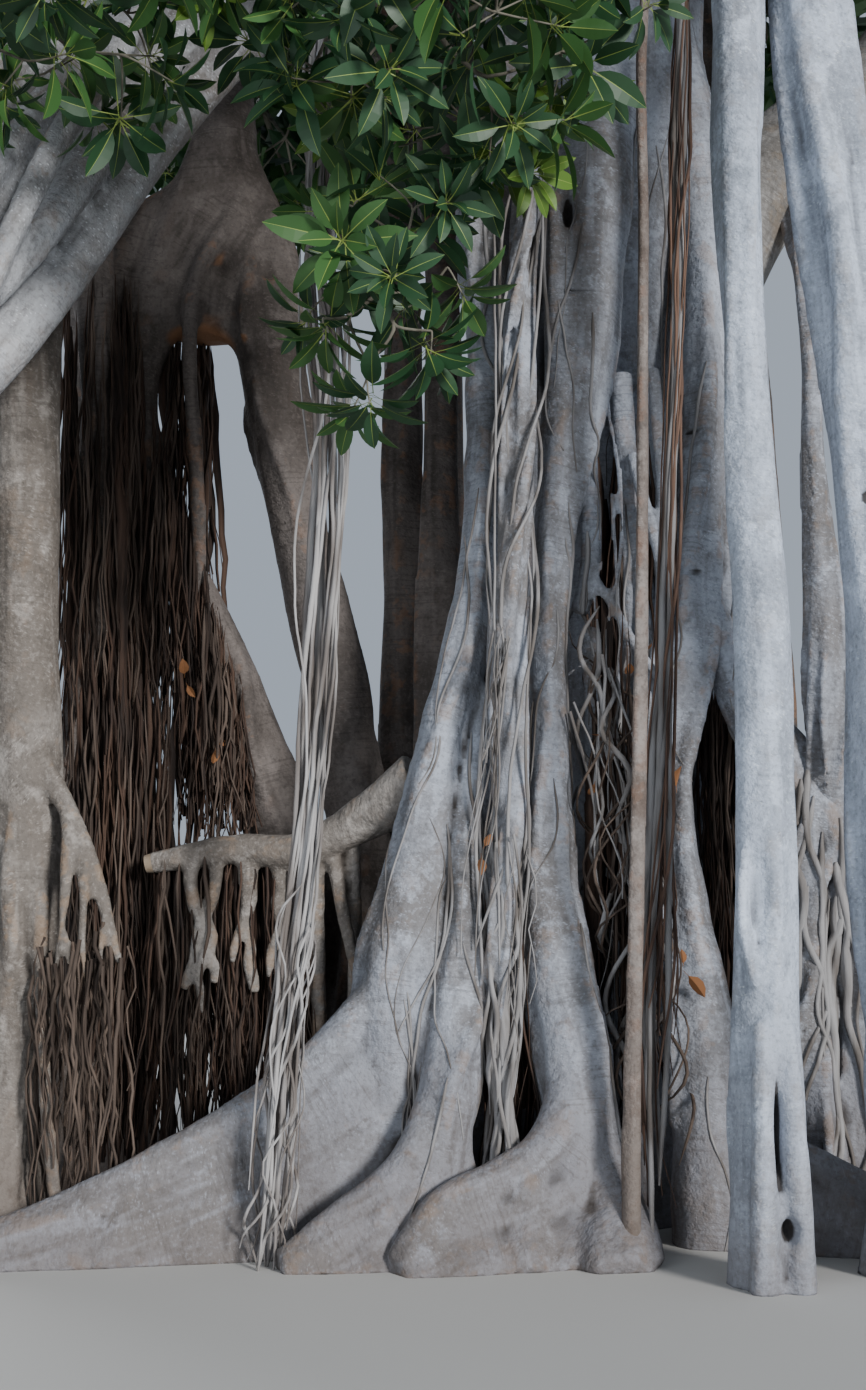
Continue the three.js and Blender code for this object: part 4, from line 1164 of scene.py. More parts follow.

# The arch on the left, dark with painted shade: one stem that parts into two legs
ARCH = {
    "top": [
        (-1.78, 0.52, 4.75, 0.12),
        (-1.765, 0.51, 5.0, 0.17),
        (-1.77, 0.5, 5.25, 0.17),
        (-1.79, 0.5, 5.72, 0.165),
        (-1.785, 0.505, 6.36, 0.165),
        on_bough("left_back", 1.85, 0.16),
    ],
    "left_shoulder": [
        (-1.84, 0.5, 5.2, 0.1),
        (-1.98, 0.49, 4.99, 0.105),
        (-2.13, 0.48, 4.87, 0.11),
        (-2.24, 0.46, 4.66, 0.11),
        (-2.25, 0.45, 4.4, 0.085),
        (-2.19, 0.45, 4.05, 0.06),
    ],
    "left_fold": [
        (-1.83, 0.46, 5.3, 0.1),
        (-1.93, 0.44, 4.95, 0.125),
        (-2.06, 0.43, 4.62, 0.125),
        (-2.12, 0.44, 4.3, 0.1),
    ],
    "middle_fold": [
        (-1.8, 0.43, 5.25, 0.09),
        (-1.83, 0.42, 4.88, 0.12),
        (-1.9, 0.43, 4.55, 0.12),
        (-1.97, 0.45, 4.42, 0.09),
    ],
    "right_fold": [
        (-1.74, 0.43, 5.25, 0.09),
        (-1.7, 0.42, 4.88, 0.12),
        (-1.66, 0.43, 4.55, 0.125),
        (-1.62, 0.45, 4.38, 0.1),
    ],
    "right_shoulder": [
        (-1.72, 0.49, 5.25, 0.1),
        (-1.61, 0.48, 4.95, 0.115),
        (-1.5, 0.47, 4.66, 0.12),
        (-1.45, 0.465, 4.35, 0.11),
        (-1.45, 0.46, 3.95, 0.1),
    ],
    "web": [
        (-2.13, 0.5, 4.5, 0.12),
        (-1.96, 0.5, 4.44, 0.19),
        (-1.7, 0.5, 4.44, 0.19),
        (-1.49, 0.5, 4.5, 0.13),
    ],
    "web_lip": [
        (-2.16, 0.45, 4.22, 0.08),
        (-2.06, 0.43, 4.3, 0.08),
        (-1.93, 0.42, 4.33, 0.08),
        (-1.8, 0.43, 4.33, 0.08),
        (-1.68, 0.44, 4.28, 0.085),
        (-1.6, 0.45, 4.18, 0.09),
    ],
    "left_leg": flared([
        (-1.19, 0.62, 0, 0.18),
        (-1.37, 0.64, 1.46, 0.18),
        (-1.53, 0.64, 2, 0.165),
        (-1.72, 0.62, 2.5, 0.155),
        (-1.9, 0.56, 2.95, 0.13),
        (-2.05, 0.5, 3.29, 0.098),
        (-2.13, 0.455, 3.64, 0.076),
        (-2.165, 0.455, 3.97, 0.084),
        (-2.15, 0.46, 4.24, 0.14),
        (-2.06, 0.48, 4.56, 0.19),
    ]),
    "right_leg": flared([
        (-1.05, 0.5, 0, 0.13),
        (-1.07, 0.5, 1.21, 0.125),
        (-1.1, 0.5, 1.96, 0.114),
        (-1.18, 0.49, 2.49, 0.165),
        (-1.29, 0.48, 2.94, 0.16),
        (-1.42, 0.48, 3.48, 0.136),
        (-1.49, 0.47, 3.84, 0.142),
        (-1.525, 0.475, 4.15, 0.17),
        (-1.55, 0.48, 4.51, 0.19),
    ]),
    "web_root": [
        (-1.87, 0.48, 2.9, 0.036),
        (-1.86, 0.38, 3.2, 0.04),
        (-1.88, 0.34, 3.67, 0.044),
        (-1.91, 0.31, 4.18, 0.044),
        (-1.88, 0.28, 4.49, 0.042),
        (-1.81, 0.28, 4.64, 0.046),
        (-1.7, 0.31, 4.82, 0.04),
    ],
    "tuft": [
        (-1.6, 0.31, 4.62, 0.03),
        (-1.63, 0.29, 4.45, 0.034),
        (-1.65, 0.29, 4.3, 0.03),
        (-1.66, 0.31, 4.2, 0.016),
    ],
}
ARCH_GUIDES = ("top", "left_leg", "right_leg", "web_root")  # the lines that its bark's pattern follows


def build_arch():
    lines = [along(stops) for stops in ARCH.values()]
    lines += strands_around(ARCH["left_leg"], 4, 0.8, 0.04, turns=0.1, seed=24, span=(0.1, 0.9))
    lines += strands_around(ARCH["right_leg"], 5, 0.82, 0.036, turns=0.12, seed=25, span=(0, 0.95))
    guides = [along(ARCH[name]) for name in ARCH_GUIDES]
    arch = fused("arch_stem_bark", lines, PAINTED_SHADE_BARK, voxel=0.024, guides=guides, Lumps=0.03, Ribs=0.02,
                 Rib_Width=0.08)
    place_piece(arch, "bark_brown", "arch_stem")


build_arch()

# Columns: roots that reached the ground and thickened
COLUMNS = {
    "left_column": [
        (-2.59, -0.56, 0, 0.2),
        (-2.53, -0.55, 0.59, 0.16),
        (-2.5, -0.54, 1.24, 0.16),
        (-2.49, -0.53, 1.91, 0.165),
        (-2.52, -0.52, 2.59, 0.155),
        (-2.52, -0.52, 3.28, 0.15),
        (-2.52, -0.56, 4.08, 0.155),
        (-2.4, -0.8, 4.8, 0.16),
    ],
    "right_column": [
        (0.6, -1.35, 0, 0.155),
        (0.6, -1.35, 0.73, 0.142),
        (0.59, -1.35, 1.25, 0.122),
        (0.592, -1.35, 1.9, 0.106),
        (0.6, -1.35, 2.62, 0.112),
        (0.57, -1.35, 3.15, 0.104),
        (0.55, -1.35, 3.9, 0.086),
        (0.54, -1.35, 4.6, 0.092),
        (0.55, -1.35, 5.4, 0.108),
        on_bough("front_right", 1.56, 0.105),
    ],
    "far_right_column": [
        (1.26, -1.15, 0, 0.225),
        (1.25, -1.15, 0.7, 0.205),
        (1.22, -1.15, 1.5, 0.19),
        (1.15, -1.15, 2.65, 0.172),
        (1.04, -1.15, 3.84, 0.155),
        (0.93, -1.15, 4.7, 0.14),
        (0.87, -1.11, 5.44, 0.138),
        on_bough("right_front", 1.05, 0.132),
    ],
    "slim_left_stem": [
        (-2.38, 0.09, 0, 0.095),
        (-2.37, 0.11, 1.46, 0.082),
        (-2.37, 0.15, 2.41, 0.076),
        (-2.32, 0.2, 2.89, 0.09),
        (-2.31, 0.2, 3.63, 0.098),
        (-2.38, 0.21, 4.62, 0.092),
        (-2.4, 0.4, 6, 0.08),
        on_bough("left_back", 2.48, 0.072),
    ],
    "slim_right_stem": [
        (1.11, -0.11, 1.78, 0.088),
        (1.085, -0.22, 2.2, 0.088),
        (1.08, -0.25, 2.77, 0.072),
        (1.035, -0.25, 3.62, 0.042),
        (1.03, -0.23, 4.24, 0.036),
        (1, 0.25, 5.05, 0.036),
    ],
    "back_stem_a": [
        (-0.93, 0.8, 0, 0.13),
        (-0.9, 0.8, 1.96, 0.108),
        (-0.87, 0.8, 3.3, 0.09),
        (-0.87, 0.76, 4.6, 0.085),
        on_bough("left_back", 0.95, 0.085),
    ],
    "back_stem_b": [
        (-0.7, 0.72, 0, 0.11),
        (-0.69, 0.56, 1.5, 0.095),
        (-0.68, 0.5, 2.68, 0.09),
        (-0.67, 0.51, 3.85, 0.088),
        (-0.65, 0.48, 5.09, 0.08),
        (-0.56, 0.3, 6.15, 0.08),
    ],
    "back_column_a": [
        (1.25, 1.75, 0, 0.17),
        (1.2, 1.8, 2.4, 0.13),
        (1.08, 1.78, 4.7, 0.11),
        on_bough("back_right", 2, 0.1),
    ],
    "back_column_b": [
        (-0.56, 2.35, 0, 0.14),
        (-0.62, 2.3, 2.6, 0.105),
        (-0.64, 2.18, 4.9, 0.095),
        on_bough("back", 2.15, 0.085),
    ],
    "back_column_c": [
        (-2.35, 1.5, 0, 0.15),
        (-2.45, 1.35, 2.5, 0.115),
        (-2.6, 1.05, 5, 0.1),
        on_bough("left_back", 2.95, 0.09),
    ],
    "back_column_d": [
        (2.35, 1.25, 0, 0.15),
        (2.25, 1.1, 2.5, 0.12),
        (2.18, 0.85, 4.7, 0.105),
        on_bough("right", 2.3, 0.095),
    ],
}
FLARES = {"right_column": 1.12, "far_right_column": 1.2}
COLUMN_FINISHES = {
    "left_column": (TAN_BARK, "bark_grey"),
    "right_column": (PALE_COLUMN_BARK_WITH_PAINTED_SKYLIGHT, "bark_grey"),
    "far_right_column": (PALE_COLUMN_BARK_WITH_PAINTED_SKYLIGHT, "bark_grey"),
    "slim_right_stem": (GREY_BARK, "bark_brown"),
}
# Strands that cling to a column: how many, their ring as a share of its radius, their radius, their turns and
# the part of its length
CLINGING = {
    "left_column": (5, 0.82, 0.035, 0.2, (0, 0.5)),
    "right_column": (4, 0.8, 0.03, 0.12, (0, 0.95)),
    "far_right_column": (5, 0.86, 0.04, 0.1, (0, 0.9)),
    "slim_left_stem": (6, 1.06, 0.024, 2.4, (0, 1)),
    "back_stem_a": (5, 0.95, 0.03, 0.6, (0, 1)),
    "back_stem_b": (5, 0.95, 0.028, 0.7, (0, 1)),
    "slim_right_stem": (6, 1.1, 0.022, 0.4, (0, 1)),
}
PLAIN_CLINGING = (4, 0.85, 0.035, 0.4, (0, 0.9))
# Side roots that leave a column
COLUMN_BRANCHES = {
    "left_column": [
        [
            (-2.45, -0.6, 2.12, 0.04),
            (-2.31, -0.66, 1.92, 0.04),
            (-2.2, -0.72, 1.7, 0.038),
            (-2.11, -0.74, 1.45, 0.032),
            (-2.04, -0.74, 1.2, 0.018),
        ],
        [
            (-2.42, -0.62, 2.0, 0.03),
            (-2.29, -0.7, 1.83, 0.028),
            (-2.27, -0.76, 1.58, 0.03),
            (-2.28, -0.79, 1.34, 0.022),
            (-2.31, -0.8, 1.1, 0.012),
        ],
        [
            (-2.21, -0.73, 1.7, 0.028),
            (-2.185, -0.79, 1.5, 0.026),
            (-2.19, -0.8, 1.3, 0.02),
            (-2.17, -0.8, 1.12, 0.012),
        ],
        [(-2.1, -0.76, 1.42, 0.02), (-2.11, -0.79, 1.28, 0.018), (-2.1, -0.8, 1.1, 0.011)],
        [(-2.28, -0.79, 1.4, 0.018), (-2.245, -0.81, 1.26, 0.016), (-2.24, -0.82, 1.08, 0.01)],
        [
            (-2.4, -0.66, 1.5, 0.04),
            (-2.36, -0.74, 0.95, 0.035),
            (-2.3, -0.82, 0.4, 0.03),
            (-2.22, -0.88, -0.03, 0.03),
        ],
    ],
    "right_column": [
        [(0.5, -1.43, 1.68, 0.018), (0.49, -1.465, 1.4, 0.026), (0.54, -1.47, 1.13, 0.018)],
        [(0.6, -1.46, 1.7, 0.018), (0.615, -1.465, 1.4, 0.024), (0.55, -1.47, 1.13, 0.018)],
        [(0.55, -1.47, 1.0, 0.03), (0.545, -1.52, 0.6, 0.045), (0.54, -1.54, -0.03, 0.06)],
        [(0.66, -1.45, 1.0, 0.03), (0.675, -1.5, 0.6, 0.045), (0.69, -1.52, -0.03, 0.06)],
    ],
}
# The dotted seam down the right column, one dent a row
SEAM_DOTS = []
for dot in range(11):
    dot_x = 0.545 + 0.03 * math.sin(dot * 0.16)
    dot_z = 2.7 + 0.2 * dot + 0.06 * math.sin(3.1 * dot)
    SEAM_DOTS.append((dot_x, -1.44, dot_z, 0.009, 0.03, 0.012))
# Slots and holes in a column
COLUMN_DENTS = {
    "right_column": [
        (0.607, -1.5, 0.575, 0.014, 0.17, 0.07),
        (0.643, -1.5, 0.229, 0.03, 0.045, 0.08),
        *SEAM_DOTS,
    ],
    "far_right_column": [
        (1.16, -1.36, 1.9, 0.02, 0.1, 0.04),
        (1.06, -1.33, 3.1, 0.03, 0.03, 0.04),
    ],
}
COLUMN_VOXELS = {
    "left_column": 0.018,
    "right_column": 0.019,
    "far_right_column": 0.025,
    "slim_left_stem": 0.021,
    "slim_right_stem": 0.017,
}
PLAIN_VOXEL = 0.032


def build_column(name, stops, seed):
    route = flared(stops, FLARES.get(name, 1.4)) if stops[0][2] == 0 else stops
    count, ring, radius, turns, span = CLINGING.get(name, PLAIN_CLINGING)
    strands = strands_around(route, count, ring, radius, turns=turns, seed=seed, span=span, stray=0.25)
    branches = [along(branch, SLIM_STEP) for branch in COLUMN_BRANCHES.get(name, [])]
    # A column that is not listed takes the bark darkened as painted shade
    finish, slot = COLUMN_FINISHES.get(name, (PAINTED_SHADE_BARK, "bark_brown"))
    main = along(route)
    voxel = COLUMN_VOXELS.get(name, PLAIN_VOXEL)
    dents = COLUMN_DENTS.get(name, ())
    column = fused(f"{name}_bark", [main, *strands, *branches], finish, voxel=voxel, guides=[main, *branches],
                   dents=dents, smooth=4, Lumps=0.02, Ribs=0.014, Rib_Width=0.07, Folds=0.003,
                   Seed=float(seed))
    place_piece(column, slot, name)


for column_seed, (column_name, column_stops) in enumerate(COLUMNS.items(), 40):
    build_column(column_name, column_stops, column_seed)

# A dead side branch low on the left, with hanging stubs and slim roots under it
STUB_BRANCH = [
    (-0.76, -0.38, 1.99, 0.15),
    (-0.93, -0.32, 1.88, 0.12),
    (-1.11, -0.26, 1.78, 0.09),
    (-1.31, -0.22, 1.69, 0.08),
    (-1.64, -0.17, 1.69, 0.07),
    (-2, -0.15, 1.63, 0.048),
]
STUBS = {"xs": [-1.79, -1.7, -1.56, -1.42, -1.34], "length": 0.58, "radius": 0.036, "y": -0.185, "z": 1.69}
STUB_CUT = [(-1.99, -0.151, 1.632, 0.045), (-2.022, -0.15, 1.626, 0.04)]  # the branch's cut end
PROP_ROOTS = [
    [
        (-1.18, -0.24, 1.74, 0.038),
        (-1.05, -0.3, 1.15, 0.03),
        (-0.86, -0.42, 0.7, 0.034),
    ],
    [
        (-1.24, -0.23, 1.72, 0.034),
        (-1.22, -0.2, 0.9, 0.034),
        (-1.19, -0.18, -UNDERCUT, 0.04),
    ],
    [
        (-1.08, -0.22, 1.8, 0.04),
        (-1.06, -0.12, 0.9, 0.036),
        (-1.06, -0.09, -UNDERCUT, 0.044),
    ],
]


def stub_routes():
    """Knobbly stubs, each with a finger that parts from it"""
    roll = dice(5)
    rng = np.random.default_rng(6)
    routes = []
    for x in STUBS["xs"]:
        length = STUBS["length"] * (0.6 + 0.7 * roll())
        y, z, radius = STUBS["y"], STUBS["z"], STUBS["radius"]
        middle = x + 0.06 * (roll() - 0.5)
        tip = x + 0.12 * (roll() - 0.5)
        stem = []
        for share in (0, 0.2, 0.4, 0.5, 0.65, 0.8, 0.9, 1):
            place = mixed(x, middle, 2 * share) if share < 0.5 else mixed(middle, tip, 2 * share - 1)
            knob = rng.uniform(0.75, 1.35) if 0 < share < 1 else 1.1
            place += rng.normal(0, 0.012)
            stem.append((place, y, z - length * share, radius * mixed(1.1, 0.6, share) * knob))
        routes.append(stem)
        way = rng.choice([-1, 1])
        fork = stem[rng.integers(3, 6)]
        routes.append([(*fork[:3], 0.026), (fork[0] + way * 0.035, y - 0.03, fork[2] - 0.09, 0.022),
                       (fork[0] + way * 0.05, y - 0.03, fork[2] - rng.uniform(0.16, 0.26), 0.014)])
    return routes


def build_stub_branch():
    lines = [along(stops, SLIM_STEP) for stops in (STUB_BRANCH, *stub_routes(), *PROP_ROOTS)]
    branch = fused("stub_branch_bark", lines, TAN_BARK, voxel=0.0135, smooth=3, Lumps=0.03, Lump_Size=0.08,
                   Folds=0.006)
    place_piece(branch, "bark_grey", "stub_branch")
    place_piece(threads("stub_cut_end", [along(STUB_CUT, 0.01)], CUT_WOOD, sides=16, wander=0.0), "root_pale")


build_stub_branch()

# Bundles of hanging roots
BUNDLES = {
    "pale_root_bundle": [
        (-1.39, -1.06, -UNDERCUT, 0.085),
        (-1.37, -1.05, 0.12, 0.072),
        (-1.31, -1.04, 0.91, 0.062),
        (-1.24, -1.03, 1.59, 0.062),
        (-1.19, -1.015, 2.4, 0.076),
        (-1.14, -1, 3.44, 0.09),
        (-1.2, -1, 4.22, 0.084),
        (-1.19, -0.96, 5.42, 0.078),
        on_bough("left_front", 1.42, 0.076),
    ],
    "trunk_root_bundle": [
        (-0.45, -0.83, 0.4, 0.06),
        (-0.44, -0.79, 0.9, 0.062),
        (-0.4, -0.735, 1.5, 0.07),
        (-0.38, -0.65, 2.55, 0.068),
        (-0.335, -0.6, 3.3, 0.07),
        (-0.3, -0.54, 4.2, 0.064),
        (-0.23, -0.38, 5.1, 0.06),
        (-0.16, -0.12, 5.8, 0.06),
    ],
    "pole_root": [
        (0.085, -1.08, -UNDERCUT, 0.046),
        (0.09, -1.08, 0.31, 0.036),
        (0.12, -1.09, 1.47, 0.029),
        (0.15, -1.1, 2.7, 0.026),
        (0.175, -1.1, 4.2, 0.024),
        (0.22, -1.08, 5.46, 0.024),
        on_bough("front_right", 1.08, 0.024),
    ],
    "pole_root_bundle": [
        (0.185, -0.99, -UNDERCUT, 0.078),
        (0.2, -0.93, 0.7, 0.062),
        (0.235, -0.85, 1.6, 0.046),
        (0.29, -0.78, 2.7, 0.032),
        (0.37, -0.72, 4.2, 0.027),
        (0.4, -0.69, 5.3, 0.027),
        on_bough("front_right", 0.8, 0.027),
    ],
}
# The foot of the trunk's bundle, where loose strands hang on to the ground between two roots
BUNDLE_FOOT = [
    (-0.405, -0.8, 0.05, 0.06),
    (-0.42, -0.82, 0.45, 0.055),
    (-0.425, -0.8, 0.95, 0.05),
    (-0.4, -0.745, 1.5, 0.045),
    (-0.385, -0.68, 2.1, 0.03),
]
# One straight thread that hangs in front of the trunk's bundle
LONE_THREAD = [
    (-0.44, -0.62, 5.3, 0.006),
    (-0.438, -0.75, 4.3, 0.006),
    (-0.444, -0.76, 2.3, 0.006),
    (-0.43, -0.84, 1.2, 0.006),
]
BUNDLE_STEP = 0.06


def leaning_lines(count, top, spread, length, lean, radius, seed):
    """Loose hanging lines that start about a place and lean as they fall"""
    rng = np.random.default_rng(seed)
    lines = []
    for _ in range(count):
        start = np.array(top) + rng.normal(0, 1, 3) * spread
        fall = length * rng.uniform(0.5, 1.2)
        down = np.linspace(0, 1, max(6, int(fall / 0.07)))[:, None]
        line = start + down * np.array([lean[0] * fall, lean[1] * fall, -fall]) * rng.uniform(0.75, 1.25, 3)
        line[:, :1] += 0.02 * np.sin(down * rng.uniform(4, 12) + rng.uniform(0, 6))
        lines.append(np.hstack([line, radius * rng.uniform(0.6, 1.4) * (1 - 0.5 * down)]))
    return lines


def build_pale_bundle():
    route = BUNDLES["pale_root_bundle"]
    strands = strands_around(route, 6, 0.62, 0.0145, turns=0.3, seed=11, step=BUNDLE_STEP, stray=0.35)
    strands += strands_around(route, 8, 0.7, 0.007, turns=0.7, seed=16, step=BUNDLE_STEP, stray=0.5)
    strands += strands_around(route, 4, 1.1, 0.005, turns=0.3, seed=12, step=BUNDLE_STEP, stray=0.5)
    strands += strands_around(route, 14, 1.0, 0.005, turns=0.35, seed=22, span=(0, 0.25), stray=0.55)
    pale = threads("pale_root_bundle_strands", strands, PALE_ROOT, sides=6, wander=0.04, wander_size=0.3)
    place_piece(pale, "root_pale", "pale_root_bundle")


def build_trunk_bundle():
    """A knit of fused strands, with loose threads over it and at its foot"""
    route = BUNDLES["trunk_root_bundle"]
    strands = strands_around(route, 5, 0.66, 0.026, turns=0.5, seed=13, stray=0.5)
    strands += strands_around(route, 5, 0.85, 0.015, turns=1.1, seed=17, stray=0.5)
    knit = fused("trunk_root_bundle_strands", strands, GREY_BARK, voxel=0.015, smooth=2, wander=0.03, sides=8,
                 Lumps=0.015, Lump_Size=0.1, Folds=0.004)
    place_piece(knit, "root_pale", "trunk_root_bundle")
    fine = strands_around(route, 12, 1.1, 0.007, turns=0.6, seed=14, stray=0.7)
    fine += leaning_lines(14, (-0.4, -0.8, 2.6), 0.04, 1.1, (-0.11, -0.06), 0.005, 18)
    fine += leaning_lines(10, (-0.4, -0.82, 1.7), 0.04, 1.0, (0.0, -0.06), 0.005, 19)
    fine += strands_around(BUNDLE_FOOT, 16, 1.0, 0.009, turns=0.5, seed=24, stray=0.6)
    fine += strands_around(BUNDLE_FOOT, 5, 0.6, 0.017, turns=0.4, seed=25, stray=0.5)
    fine.append(along(LONE_THREAD, 0.08))
    place_piece(threads("trunk_root_bundle_threads", fine, GREY_ROOT), "root_pale")


def build_pole_roots():
    """The straight root in front, and the slim ones with rust brown fibres behind it"""
    route = BUNDLES["pole_root"]
    lines = [along(route), *strands_around(route, 2, 0.8, 0.013, turns=0.3, seed=20, stray=0.2)]
    pole = fused("pole_root_bark", lines, POLE_BARK, voxel=0.0125, smooth=3, Lumps=0.008, Lump_Size=0.1)
    place_piece(pole, "root_pale", "pole_root")
    route = BUNDLES["pole_root_bundle"]
    slim = strands_around(route, 6, 0.7, 0.013, turns=0.4, seed=15, stray=0.45)
    strands = threads("pole_root_bundle_strands", slim, GREY_ROOT, sides=6)
    place_piece(strands, "root_pale", "pole_root_bundle")
    hairs = strands_around(route, 16, 1.05, 0.006, turns=0.6, seed=21, stray=0.7)
    place_piece(threads("pole_root_bundle_fibres", hairs, RUST_ROOT), "root_dark")


build_pale_bundle()
build_trunk_bundle()
build_pole_roots()

# Slim roots that cross the niche, and roots that crawl down over the trunk
NICHE_ROOTS = [
    [
        (0.05, -0.3, 4.0, 0.014),
        (0.14, -0.4, 3.32, 0.014),
        (0.137, -0.45, 3.07, 0.013),
        (0.081, -0.45, 2.755, 0.014),
        (0.021, -0.46, 2.57, 0.013),
        (-0.12, -0.52, 2.45, 0.01),
    ],
    [
        (0.06, -0.42, 3.0, 0.01),
        (0.017, -0.42, 2.86, 0.011),
        (0.033, -0.42, 2.6, 0.01),
        (0.06, -0.42, 2.1, 0.01),
        (0.08, -0.44, 1.5, 0.009),
    ],
    [
        (0.095, -0.4, 3.3, 0.012),
        (0.115, -0.4, 2.98, 0.013),
        (0.125, -0.42, 2.6, 0.013),
        (0.098, -0.44, 2.04, 0.012),
        (0.09, -0.46, 1.4, 0.012),
    ],
    [
        (0.02, -0.4, 2.9, 0.024),
        (0.124, -0.44, 2.72, 0.025),
        (0.19, -0.44, 2.6, 0.024),
        (0.32, -0.4, 2.42, 0.022),
    ],
    [
        (0.2, -0.3, 3.5, 0.03),
        (0.25, -0.36, 3.26, 0.032),
        (0.32, -0.38, 2.99, 0.034),
        (0.333, -0.38, 2.78, 0.034),
        (0.285, -0.36, 2.55, 0.03),
        (0.2, -0.3, 2.3, 0.026),
    ],
    [
        (-0.02, -0.3, 3.7, 0.05),
        (0.0, -0.34, 3.3, 0.052),
        (0.0, -0.36, 2.98, 0.05),
        (-0.05, -0.36, 2.75, 0.046),
    ],
    [
        (0.16, -0.2, 3.9, 0.06),
        (0.2, -0.22, 3.2, 0.055),
        (0.2, -0.24, 2.4, 0.05),
        (0.17, -0.26, 1.2, 0.06),
    ],
    [
        (0.3, -0.3, 3.9, 0.035),
        (0.34, -0.33, 3.3, 0.03),
        (0.31, -0.36, 2.5, 0.028),
        (0.3, -0.42, 1.3, 0.03),
    ],
    [
        (0.0, -0.3, 2.7, 0.04),
        (0.02, -0.32, 2.0, 0.042),
        (0.0, -0.36, 1.2, 0.05),
        (0.02, -0.44, 0.5, 0.06),
    ],
]
# Crawling roots: the range of x and z they start in, how many, their radius, their length
CRAWLERS = {
    "trunk": ((-0.75, 0.75), (1.6, 5.2), 46, 0.007, 1.8),
    "niche": ((-0.1, 0.36), (1.2, 3.4), 34, 0.009, 1.4),
    "foot": ((-0.9, 0.6), (0.7, 2.2), 26, 0.006, 1.2),
    "lattice": ((0.85, 1.2), (1.3, 2.2), 26, 0.018, 1.5),
}
CRAWL_STEP = 0.045
IN_FRONT = -4  # a crawling root's start is looked for from this y, in front of the trunk
FEWEST_POINTS = 8  # a crawling root with fewer is left out


def nearest_skin(skins, point):
    """The nearest place on any of the skins, and the way out from it"""
    found = [skin.find_nearest(point) for skin in skins]
    return min(found, key=lambda hit: hit[3])[:2]


def crawl(skins, x, z, radius, length, rng):
    """A line that runs down over the skins from the first of them that is met at x and z"""
    hits = [skin.ray_cast(Vector((x, IN_FRONT, z)), Vector((0, 1, 0))) for skin in skins]
    hits = [hit for hit in hits if hit[0] is not None]
    if not hits:
        return None
    place = min(hits, key=lambda hit: hit[3])[0]
    lean = 0.0
    rows = []
    for _ in range(int(length / CRAWL_STEP)):
        lean += rng.normal(0, 0.2) - 0.12 * lean
        location, normal = nearest_skin(skins, place + Vector((lean, 0, -1)).normalized() * CRAWL_STEP)
        place = location + normal * radius * 0.35
        rows.append([*place])
        if place.z < 0.02:
            break
    if len(rows) < FEWEST_POINTS:
        return None
    line = np.array(rows)
    for _ in range(2):
        line[1:-1] = (line[:-2] + 2 * line[1:-1] + line[2:]) / 4
    taper = np.minimum(1, np.linspace(0, 10, len(line)) + 0.3) * np.linspace(1, 0.5, len(line))
    return np.column_stack([line, radius * taper])


def build_small_roots():
    lines = [along(stops, SLIM_STEP) for stops in NICHE_ROOTS]
    roots = fused("niche_roots", lines, GREY_BARK, voxel=0.016, smooth=2, wander=0.03, sides=8, Lumps=0.015,
                  Lump_Size=0.12)
    place_piece(roots, "bark_grey")
    depsgraph = bpy.context.evaluated_depsgraph_get()
    skins = [BVHTree.FromObject(piece, depsgraph) for piece in (*TRUNK[:3], roots)]
    for seed, (name, ((x0, x1), (z0, z1), count, radius, length)) in enumerate(CRAWLERS.items(), 51):
        rng = np.random.default_rng(seed)
        lines = [
            crawl(skins, rng.uniform(x0, x1), rng.uniform(z0, z1), radius * rng.uniform(0.5, 1.6),
                  length * rng.uniform(0.4, 1.2), rng)
            for _ in range(count)
        ]
        lines = [line for line in lines if line is not None]
        place_piece(threads(f"crawling_roots_{name}", lines, GREY_ROOT, wander=0.012), "root_pale")


build_small_roots()

# The tangle of slim roots in the crevice between the front root and the right stem
CREVICE_ROUTE = [
    (0.02, -0.5, 2.75, 0.07),
    (0.06, -0.55, 2.2, 0.1),
    (0.14, -0.58, 1.6, 0.11),
    (0.18, -0.6, 1.0, 0.11),
    (0.2, -0.66, 0.35, 0.12),
]


def build_crevice_tangle():
    grey = strands_around(CREVICE_ROUTE, 9, 0.8, 0.009, turns=0.9, seed=61, stray=0.8)
    grey += leaning_lines(9, (-0.02, -0.58, 2.35), 0.06, 1.2, (0.2, -0.04), 0.007, 62)
    grey += leaning_lines(7, (0.3, -0.54, 2.0), 0.05, 1.1, (-0.16, -0.05), 0.007, 63)
    place_piece(threads("crevice_tangle_roots", grey, GREY_ROOT), "root_pale")
    brown = strands_around(CREVICE_ROUTE, 12, 1.0, 0.006, turns=1.4, seed=64, stray=0.8)
    place_piece(threads("crevice_tangle_fibres", brown, BROWN_FIBRE), "root_dark")


build_crevice_tangle()

